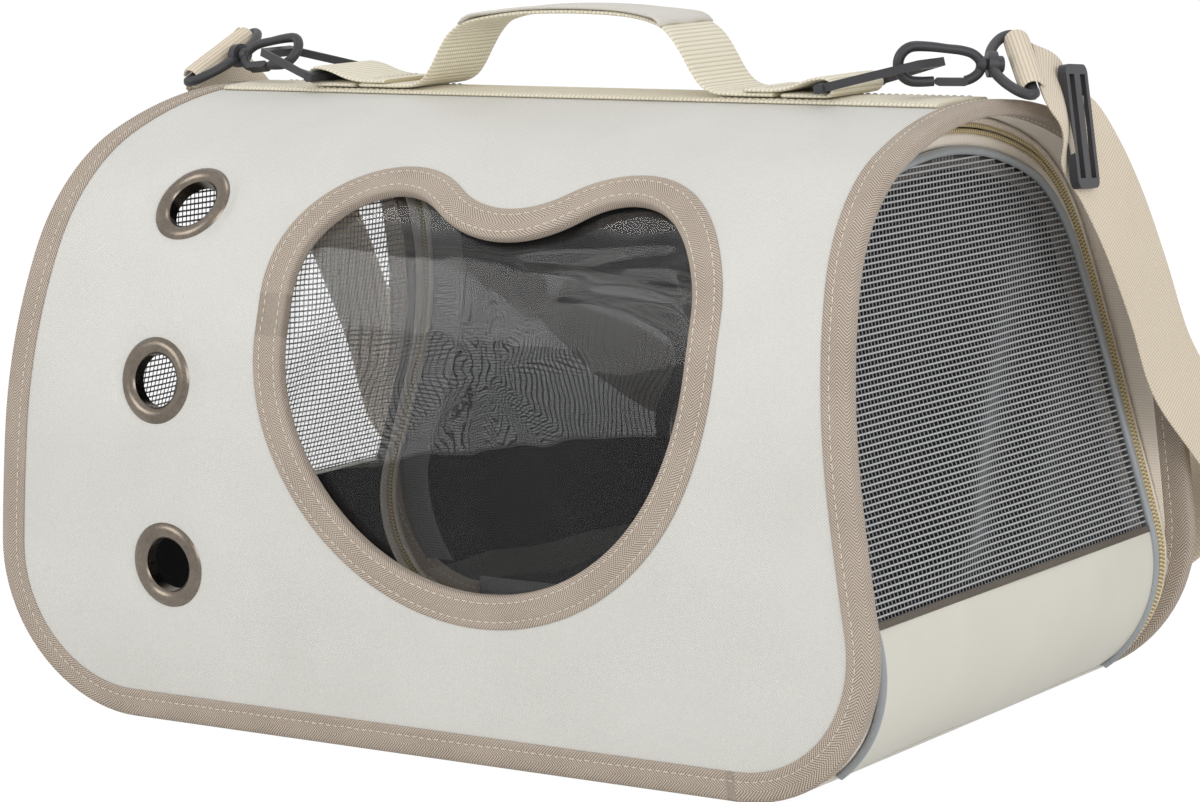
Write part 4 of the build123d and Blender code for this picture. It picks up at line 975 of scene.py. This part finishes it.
def wall_tape(shape, side, n, low, count, columns, span, thick):
    """A tape on the tunnel's inner wall at an end; span gives its edges in x at a height."""
    s_low = s_at(low, n)
    mid, normal, uv = [], [], []
    for s in np.linspace(-s_low, s_low, count):
        xs = np.linspace(*span(float(tunnel_point(s, n)[1])), columns) * side
        at = np.full(columns, s)
        mid.append(lift(at, xs, n - 0.02))
        normal.append(lift_normal(at))
        uv.append(np.stack([at, xs], 1) * MM)
    slab(shape, np.array(mid), np.array(normal) * side, thick, np.array(uv))


def coil(shape, side, inset, out):
    """Interlocked teeth: a flattened cord with a bulge at every tooth."""
    points, normals = end_row(side, inset, out, step=0.55)
    u = lengths(points) / MM
    bulge = 0.86 + 0.17 * np.sin(2 * math.pi * u / 1.6)
    tube(shape, points, 0.98 * MM * bulge, normals, 8)


NET_ROW, NET_COLUMN, NET_INSET, NET_TOP = 2.25, 2.45, 19.6, 219.6


def net_out(y, z):
    """How far the net bulges: a fold that rises slanting from the left foot, and its valley."""
    edge = ease(max(0.0, min(1.0, (half_width(z, 20.5) - abs(y)) / 26.0)) * min(1.0, (z - 64) / 22.0))
    y2 = y + 51 - 0.81 * (z - 68)
    folds = 5.6 * math.exp(-((y2 / (34 if y2 < 0 else 17)) ** 2))
    folds += 1.2 * math.exp(-((y2 - 62) / 14) ** 2) - 0.9 * math.exp(-((y2 - 32) / 15) ** 2)
    fade = 1 / (1 + math.exp((z - 150) / 16))
    return -0.9 + edge * (folds * (0.12 + 0.88 * fade) - 0.3)


def thread(shape, side, places, raise_by, half):
    """One flat thread of the net through places (y, z); half is half its width in metres."""
    p, n = on_end(side, places, [net_out(y, z) + raise_by for y, z in places])
    b = unit(np.cross(unit(np.gradient(p, axis=0)), n)) * half
    grid = np.stack([p - b, p + n * 0.00026, p + b, p - n * 0.0002], 1)
    shape.grid(grid, uv_grid(lengths(p), np.arange(4) * 0.0003), loop_v=True)


def net(side, name):
    """Real net of threads across and up. The upright ones take a darker copy of the same yarn's paint,
    which is painted shade.
    """
    zs = [66.2]
    while zs[-1] < NET_TOP:
        zs.append(zs[-1] + NET_ROW * end_at(zs[-1])[1])
    ys = np.arange(-102.9, 103, NET_COLUMN)
    shape = Shape()
    for k, z in enumerate(zs):
        w = half_width(z, NET_INSET)
        row = [(y, z) for y in ys if abs(y) < w - 0.4]
        if len(row) > 1:
            thread(shape, side, [(-w, z)] + row + [(w, z)], 0.14 if k % 2 else 0.02, 0.00039)
    across = len(shape.faces)
    for y in ys:
        column = [(y, z) for z in zs if half_width(z, NET_INSET) > abs(y) and z < 220.2]
        if len(column) > 2:
            thread(shape, side, column, -0.08, 0.00032)
    obj = shape.make("door_mesh_%s_net" % name, NET)
    # the upright threads get the darker paint, which is painted shade and not a different yarn
    obj.data.materials.append(NET_PAINTED_SHADE)
    for face in obj.data.polygons[across:]:
        face.material_index = 1
    return obj


def build_end(side, name):
    bag, door = "bag", "door_" + name

    def zip_tape(part, body, insets, stitched, facing=None):
        tape = Shape()
        end_band(tape, side, insets, TAPE_OUT, 0.9)
        stitches(tape, *end_row(side, stitched, STITCH_OUT), 1.7, 2.9, 0.18)
        if facing:
            wall_tape(tape, side, -4.6, Z_HINGE, 170, 5, facing, 0.5)
        node = "%s_tape_%s" % (part, name)
        placed(tape.make(node + "_cloth", ZIPTAPE), body, "tape_cream", node)

    def zip_teeth(part, body, inset):
        teeth = Shape()
        coil(teeth, side, inset, COIL_OUT)
        node = "%s_coil_%s" % (part, name)
        placed(teeth.make(node + "_teeth", COIL), body, "coil_gold", node)

    def to_binding(z):
        """The bag's tape goes on from the coil out to the rim's binding."""
        x = end_at(z)[0]
        return x - 1.5, max(edge_x(z) - BINDING + 1.0, x - 0.9)

    zip_tape("bag", bag, [5.1, 6.6, 8.0], 6.9, to_binding)
    zip_teeth("bag", bag, 8.85)
    zip_teeth("door", door, 11.15)
    zip_tape("door", door, [12.1, 13.4, 15.0, 16.7], 12.9)
    pipe = Shape()
    row, up = end_row(side, LEAF_INSET + PIPING / 2, 0.15, step=2.0)
    tube(pipe, row, 1.68 * MM, up, 12)
    placed(pipe.make("door_piping_%s_cord" % name, PIPE), door, "piping_grey", "door_piping_" + name)
    flange = Shape()
    end_band(flange, side, [19.2, 22.0, 25.4], -2.75, 0.5, z0=66.0)
    placed(flange.make("door_flange_%s" % name, FLANGE), door, "piping_grey")
    placed(net(side, name), door, "mesh_grey", "door_mesh_" + name)
    # smooth strip under the net, rolled up from the floor
    strip = Shape()
    angles = np.radians(np.linspace(-53.4, 17.0, 30))
    zs = list(50 + 50 * np.sin(angles)) + [66.6]
    rows = []
    for z in zs:
        w = half_width(z, 18.8)
        corner = 6.0 * max(0.0, 1 - (z - zs[0]) / 9.0) ** 2
        rows.append([(y, z) for y in np.linspace(-(w - corner), w - corner, 60)])
    rows = np.array(rows)
    mid, normal = on_end(side, rows, -1.5 + 0.25 * np.sin(rows[..., 0] / 21 + rows[..., 1] / 17))
    uv = rows * MM
    if side < 0:
        mid, normal, uv = mid[:, ::-1], normal[:, ::-1], uv[:, ::-1]
    slab(strip, mid, -normal, 2.9, uv)
    sheet = strip.make("door_strip_%s_sheet" % name, EVA, sharp=50)
    sheet.data.materials.append(LINING)  # its inner face
    for face in sheet.data.polygons:
        if Vector(face.normal).dot(Vector(end_normal(side, face.center.z / MM))) < -0.5:
            face.material_index = 1
    placed(sheet, door, "strip_cream", "door_strip_" + name)
    hem = Shape()
    w = half_width(66.0, 20.2)
    ys = np.linspace(-w, w, 90)
    rows = [[(y, z) for z in HEM_ROWS] for y in ys]
    mid, normal = on_end(side, rows, 0.15)
    slab(hem, mid, normal * side, 0.5, np.array(rows) * MM)
    placed(hem.make("door_hem_%s" % name, FLANGE), door, "piping_grey")
    hem_thread = Shape()
    for z in (64.7, 66.2):
        stitches(hem_thread, *on_end(side, [(y, z) for y in ys], 0.5), 1.6, 2.4, 0.2)
    placed(hem_thread.make("door_hem_stitches_%s" % name, BROWN_THREAD), door, "piping_grey")
    # grey tape on the inner wall
    seam = Shape()

    def inner_end(z):
        x = min(end_at(z)[0] - 2.3, edge_x(z) - BINDING - 0.6)
        return x - SEAM_WIDTH, x

    wall_tape(seam, side, -4.7, 20.0, 150, 6, inner_end, 0.9)
    placed(seam.make("seam_tape_%s_cloth" % name, SEAM), bag, "seam_grey", "seam_tape_" + name)


for side, name in ((1, "right"), (-1, "left")):
    build_end(side, name)

for side, name in ((-1, "front"), (1, "back")):
    tape = Shape()
    xs = np.linspace(-141, 141, 60)
    fold = np.array([
        (102.6, 3.45), (106.0, 3.45), (110.5, 3.5), (113.4, 4.0), (114.3, 5.6), (114.5, 9.0), (114.7, 15.0),
    ])
    mid = np.array([[(x, side * y, z) for y, z in fold] for x in xs]) * MM
    t = unit(np.gradient(fold, axis=0))
    normal = np.stack([0 * t[:, 0], -side * t[:, 1], t[:, 0]], 1)
    slab(tape, mid, normal * side, 0.8, uv_grid(xs, lengths(fold)) * MM)
    placed(tape.make("floor_tape_%s_cloth" % name, SEAM), "bag", "seam_grey", "floor_tape_" + name)


# ---- floor mat
def floor_mat():
    """Padded mat: a flat form swelled by a short cloth simulation, then its quilting is pressed in."""
    hx, hy, low, high = 0.1305, 0.1005, 0.0062, 0.0132
    shape = Shape()
    n = 48
    around = []
    for i in range(n):
        a = 2 * math.pi * i / n
        c, s = math.cos(a), math.sin(a)
        around.append((hx * math.copysign(abs(c) ** 0.16, c), hy * math.copysign(abs(s) ** 0.16, s)))
    rings = [
        (0.2, low), (0.6, low), (0.985, low), (1.0, low + 0.002), (1.0, high - 0.002), (0.985, high),
        (0.6, high), (0.2, high),
    ]
    grid = np.array([[(x * f, y * f, z) for x, y in around] for f, z in rings])
    uv = grid[..., :2]
    shape.grid(grid, uv, loop_v=True)
    shape.add(grid[-1], [tuple(range(n))], uv[-1])
    shape.add(grid[0], [tuple(range(n))[::-1]], uv[0])
    obj = shape.make("floor_mat_pad", MAT)
    remesh = obj.modifiers.new("grid", "REMESH")
    remesh.mode = "VOXEL"
    remesh.voxel_size = 0.005
    bpy.context.view_layer.objects.active = obj
    bpy.ops.object.modifier_apply(modifier="grid")
    me = obj.data
    rest = np.array([v.co for v in me.vertices], float)
    cloth = obj.modifiers.new("cloth", "CLOTH")
    cloth.settings.use_pressure = True
    cloth.settings.uniform_pressure_force = 4.0
    cloth.settings.effector_weights.gravity = 0.0
    cloth.settings.tension_stiffness = 15
    for f in range(1, 16):
        bpy.context.scene.frame_set(f)
    graph = bpy.context.evaluated_depsgraph_get()
    made = obj.evaluated_get(graph).to_mesh()
    swelled = np.array([v.co for v in made.vertices], float)
    obj.evaluated_get(graph).to_mesh_clear()
    obj.modifiers.remove(cloth)
    bpy.context.scene.frame_set(1)
    move = swelled - rest
    size = np.linalg.norm(move, axis=1, keepdims=True)
    rest = rest + move * np.minimum(1, 0.0045 / np.maximum(size, 1e-9))
    rest[:, 0] = np.clip(rest[:, 0], -0.134, 0.134)
    rest[:, 1] = np.clip(rest[:, 1], -0.104, 0.104)
    upper = rest[:, 2] > 0.0097
    quilt_x, quilt_y, seam_half = 0.067, 0.0695, 0.0035
    u, v = rest[:, 0] / quilt_x, rest[:, 1] / quilt_y + 0.5
    seam = np.minimum(np.abs(u % 1 - 0.5), np.abs(v % 1 - 0.5))
    groove = np.exp(-((seam * quilt_x) / seam_half) ** 2) * 0.0022
    pressed = np.clip(rest[:, 2], 0, 0.0158) - groove
    rest[:, 2] = np.where(upper, pressed, np.maximum(rest[:, 2], 0.0043))
    me.vertices.foreach_set("co", rest.ravel())
    sub = obj.modifiers.new("soft", "SUBSURF")
    sub.levels = sub.render_levels = 1
    bpy.ops.object.modifier_apply(modifier="soft")
    obj.data.polygons.foreach_set("use_smooth", [True] * len(obj.data.polygons))
    obj.data.materials.clear()
    obj.data.materials.append(MAT)
    placed(obj, "mat", "mat_dark", "floor_mat")


floor_mat()


# ---- hooks and bows
def local_frame(origin, x, y, z):
    return [np.array(v, float) for v in (origin, x, y, z)]


def to_world(f, points):
    p = np.asarray(points, float)
    return (f[0] + p[:, :1] * f[1] + p[:, 1:2] * f[2] + p[:, 2:3] * f[3]) * MM


def round_pin(shape, f, profile, sides):
    """A turned pin along a frame's X, from its profile (place, radius)."""
    x, radius = np.array(profile).T
    tube(shape, to_world(f, np.stack([x, 0 * x, 0 * x], 1)), radius * MM, f[3], sides)


HOOKS = {
    "right": local_frame(
        (142.538, -8.351, 254.279),
        (0.76558, 0.64240, -0.03490), (0.02673, 0.02243, 0.99939), (0.64279, -0.76604, 0),
    ),
    "left": local_frame(
        (-139.666, -1.802, 254.958),
        (-0.98650, 0.13864, -0.08716), (-0.00913, -0.57793, -0.81604), (-0.16351, -0.80422, 0.57139),
    ),
}
BOW_TURN = {"right": -27.0, "left": 60.0}
BOW_START, BOW_BAR = 35.3, 14.0  # from the hook's nose, and from there to the strap's bar


def bow_axes(name):
    """Frame of a bow: X along the hook, Y along the strap's bar."""
    f = HOOKS[name]
    a = math.radians(BOW_TURN[name])
    bar = f[3] * math.cos(a) + f[2] * math.sin(a)
    origin = f[0] + f[1] * BOW_START
    return [origin, f[1], bar, np.cross(f[1], bar)]


def hook_piece(name):
    f = HOOKS[name]
    up = 1.0 if f[2][2] > 0 else -1.0
    shape = Shape()
    half_turn = np.linspace(0, math.pi, 12)
    nose = [(15.4, -6.3), (12.2, -6.5)]
    nose += [(8.5 - 6.5 * math.sin(a), -6.5 * math.cos(a)) for a in half_turn]
    top = [(14.0, 6.35), (20.0, 5.7), (26.0, 5.0)]
    back = [(30.2, 3.6), (32.9, 0.6), (32.4, -2.8), (29.6, -5.2), (27.2, -6.1)]
    line = smooth_curve([(x, up * y, 0) for x, y in nose + top + back], 0.9)
    radius = np.interp(line[:, 0], [0, 8, 20, 33], [2.05, 2.0, 1.75, 1.9]) * MM
    tube(shape, to_world(f, line), radius, f[3], 14)
    pin = [
        (31.6, 2.2), (33.0, 3.0), (34.4, 3.0), (34.9, 2.0), (38.9, 2.0), (38.95, 3.2), (41.0, 3.2),
        (41.5, 2.6),
    ]
    round_pin(shape, f, pin, 18)
    obj = shape.make("hook_%s_body" % name, PLASTIC, sharp=40)
    placed(obj, "hook_" + name, "plastic_black", "hook_" + name)


def bow_piece(name):
    f = bow_axes(name)
    shape = Shape()
    half = [
        (1.9, 5.4), (3.4, 10.6), (6.2, 16.2), (9.6, 20.3), (12.4, 21.6), (14.2, 20.6), (14.0, 18.4),
        (14.0, 12.0), (14.0, 5.0),
    ]
    ring = [(x, y, 0) for x, y in half] + [(x, -y, 0) for x, y in reversed(half)] + [(1.9, 0, 0)]
    line = smooth_curve(ring, 1.0, closed=True)
    tube(shape, to_world(f, line), 1.98 * MM, f[3], 14, closed=True)
    round_pin(shape, f, [(0.0, 4.4), (0.05, 4.9), (3.6, 4.9), (3.7, 4.3)], 20)
    obj = shape.make("bow_%s_body" % name, PLASTIC, sharp=40)
    placed(obj, "ring_" + name, "plastic_black", "bow_" + name)


for name in ("right", "left"):
    hook_piece(name)
    bow_piece(name)


# ---- shoulder strap
RIGHT_AXES, LEFT_AXES = bow_axes("right"), bow_axes("left")
EYE_MID = 4.078  # radius of the strap's middle round the bow's bar


def lowered(v):
    return v if v[2] < 0 else -v


def bar_of(axes):
    return axes[0] + axes[1] * BOW_BAR


RIGHT_TOP = [
    (bar_of(RIGHT_AXES) + RIGHT_AXES[1] * EYE_MID, lowered(RIGHT_AXES[2])),
    ((188.5, 34.0, 243.0), (0.42, -0.45, -0.79)),
    ((190.0, 44.0, 228.0), (0.158, -0.07, -0.985)),
    ((193.0, 58.0, 212.0), (0.05, -0.45, -0.89)),
]
LEFT_TOP = [
    (bar_of(LEFT_AXES) + LEFT_AXES[1] * EYE_MID, lowered(LEFT_AXES[2])),
    ((-196.0, 13.0, 243.5), (0.0, -0.57, -0.82)),
    ((-198.5, 27.5, 233.0), (0.0, -0.57, -0.82)),
    ((-198.0, 43.0, 219.0), (0.0, -0.62, -0.78)),
    ((-196.5, 58.5, 205.0), (0.0, -0.68, -0.73)),
]
FALL = [
    ((195.5, 74.0, 190.0), (0.0, -0.72, -0.69)),
    ((196.0, 94.0, 161.0), (0.0, -0.76, -0.65)),
    ((197.0, 111.0, 131.0), (0.0, -0.78, -0.62)),
    ((202.0, 129.0, 106.0), (0.15, -0.74, -0.66)),
    ((200.0, 142.0, 86.0), (0.50, -0.55, -0.67)),
    ((186.0, 146.5, 66.0), (0.55, -0.10, -0.83)),
    ((160.0, 144.0, 48.0), (0.42, 0.0, -0.91)),
    ((112.0, 141.0, 35.0), (0.22, 0.0, -0.975)),
    ((56.0, 140.0, 31.0), (0.07, 0.0, -1.0)),
    ((0.0, 140.0, 30.0), (0.0, 0.0, -1.0)),
]


def strap_half(side):
    """Middle line and across directions of one half of the strap."""
    top = RIGHT_TOP if side > 0 else LEFT_TOP
    stations = top + [((side * x, y, z), (side * a, b, c)) for (x, y, z), (a, b, c) in FALL]
    beyond = ((-side * 56.0, 140.0, 31.0), (0.0, 0.0, -1.0))
    points = np.array([p for p, _ in stations + [beyond]])
    edges = unit(np.array([e for _, e in stations + [beyond]]))
    both = smooth_curve(np.concatenate([points, edges * 30], 1), 2.2)
    stop = np.argmin(np.linalg.norm(both[:, :3] - points[-2], axis=1)) + 1
    return both[:stop, :3], unit(both[:stop, 3:])


def strap_piece(side, name):
    path, edge = strap_half(side)
    shape = Shape()
    ribbon(shape, path, edge * side, STRAP_WIDTH, STRAP_THICK, 16)
    obj = shape.make("strap_%s_half" % name, STRAP)
    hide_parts("strap")
    return obj, float(lengths(path)[-1]) * MM


def strap_eye(name, axes, side):
    """The sewn fold of the strap: round the bow's bar and back under itself."""
    shape = Shape()
    bar = bar_of(axes)
    x, y, z = axes[1], axes[2], axes[3]
    if z[2] > 0:
        z = -z
    turn = np.linspace(0.35, 2 * math.pi - 1.15, 16)
    line = np.array([bar + (x * math.cos(a) - z * math.sin(a)) * EYE_MID for a in turn])
    ribbon(shape, line, lowered(y) * side, STRAP_WIDTH, STRAP_THICK, 14)
    piece = shape.make("strap_eye_%s_fold" % name, STRAP)
    placed(piece, "ring_" + name, "webbing_ivory", "strap_eye_" + name)


for side, name, axes in ((1, "right", RIGHT_AXES), (-1, "left", LEFT_AXES)):
    obj, length = strap_piece(side, name)
    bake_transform(obj)
    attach(obj, "bag")
    strap_eye(name, axes, side)


# ---- pieces that keep the solid model's own mesh
def soft_shading():
    """Nodes that shade faces smoothly and keep edges over 38 degrees sharp."""
    tree = bpy.data.node_groups.new("soft_shading", "GeometryNodeTree")
    tree.interface.new_socket("Geometry", in_out="INPUT", socket_type="NodeSocketGeometry")
    tree.interface.new_socket("Geometry", in_out="OUTPUT", socket_type="NodeSocketGeometry")
    start = add_node(tree, "NodeGroupInput")
    smooth = add_node(tree, "GeometryNodeSetShadeSmooth", start.outputs[0], domain="FACE")
    angle = add_node(tree, "GeometryNodeInputMeshEdgeAngle").outputs[0]
    greater = {"data_type": "FLOAT", "operation": "GREATER_THAN"}
    over = add_node(tree, "FunctionNodeCompare", angle, math.radians(38), **greater).outputs[0]
    crease = add_node(
        tree, "GeometryNodeSetShadeSmooth", smooth.outputs[0], over, False, domain="EDGE"
    )
    add_node(tree, "NodeGroupOutput", crease.outputs[0])
    return tree


SHADING = soft_shading()


def dress(node, material, bevel):
    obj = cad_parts[node]
    if not obj.material_slots:
        obj.data.materials.append(material)
    for slot in obj.material_slots:
        slot.material = material
    if bevel:
        m = obj.modifiers.new("edges", "BEVEL")
        m.width = bevel * MM
        m.segments = 3
        m.limit_method = "ANGLE"
        m.angle_limit = math.radians(35)
        m.harden_normals = False
    obj.modifiers.new("shading", "NODES").node_group = SHADING


for spot in ("top", "middle", "bottom"):
    dress("eyelet_" + spot, METAL, 0.0)
    dress("washer_" + spot, METAL, 0.2)
dress("base_panel", EVA, 0.0)
dress("tri_glide", PLASTIC, 0.7)
for name in ("right", "left"):
    dress("ring_" + name, PLASTIC, 0.7)
    dress("gate_" + name, PLASTIC, 0.6)
    dress("zip_slider_" + name, METAL, 0.3)
    dress("zip_pull_" + name, METAL, 0.3)
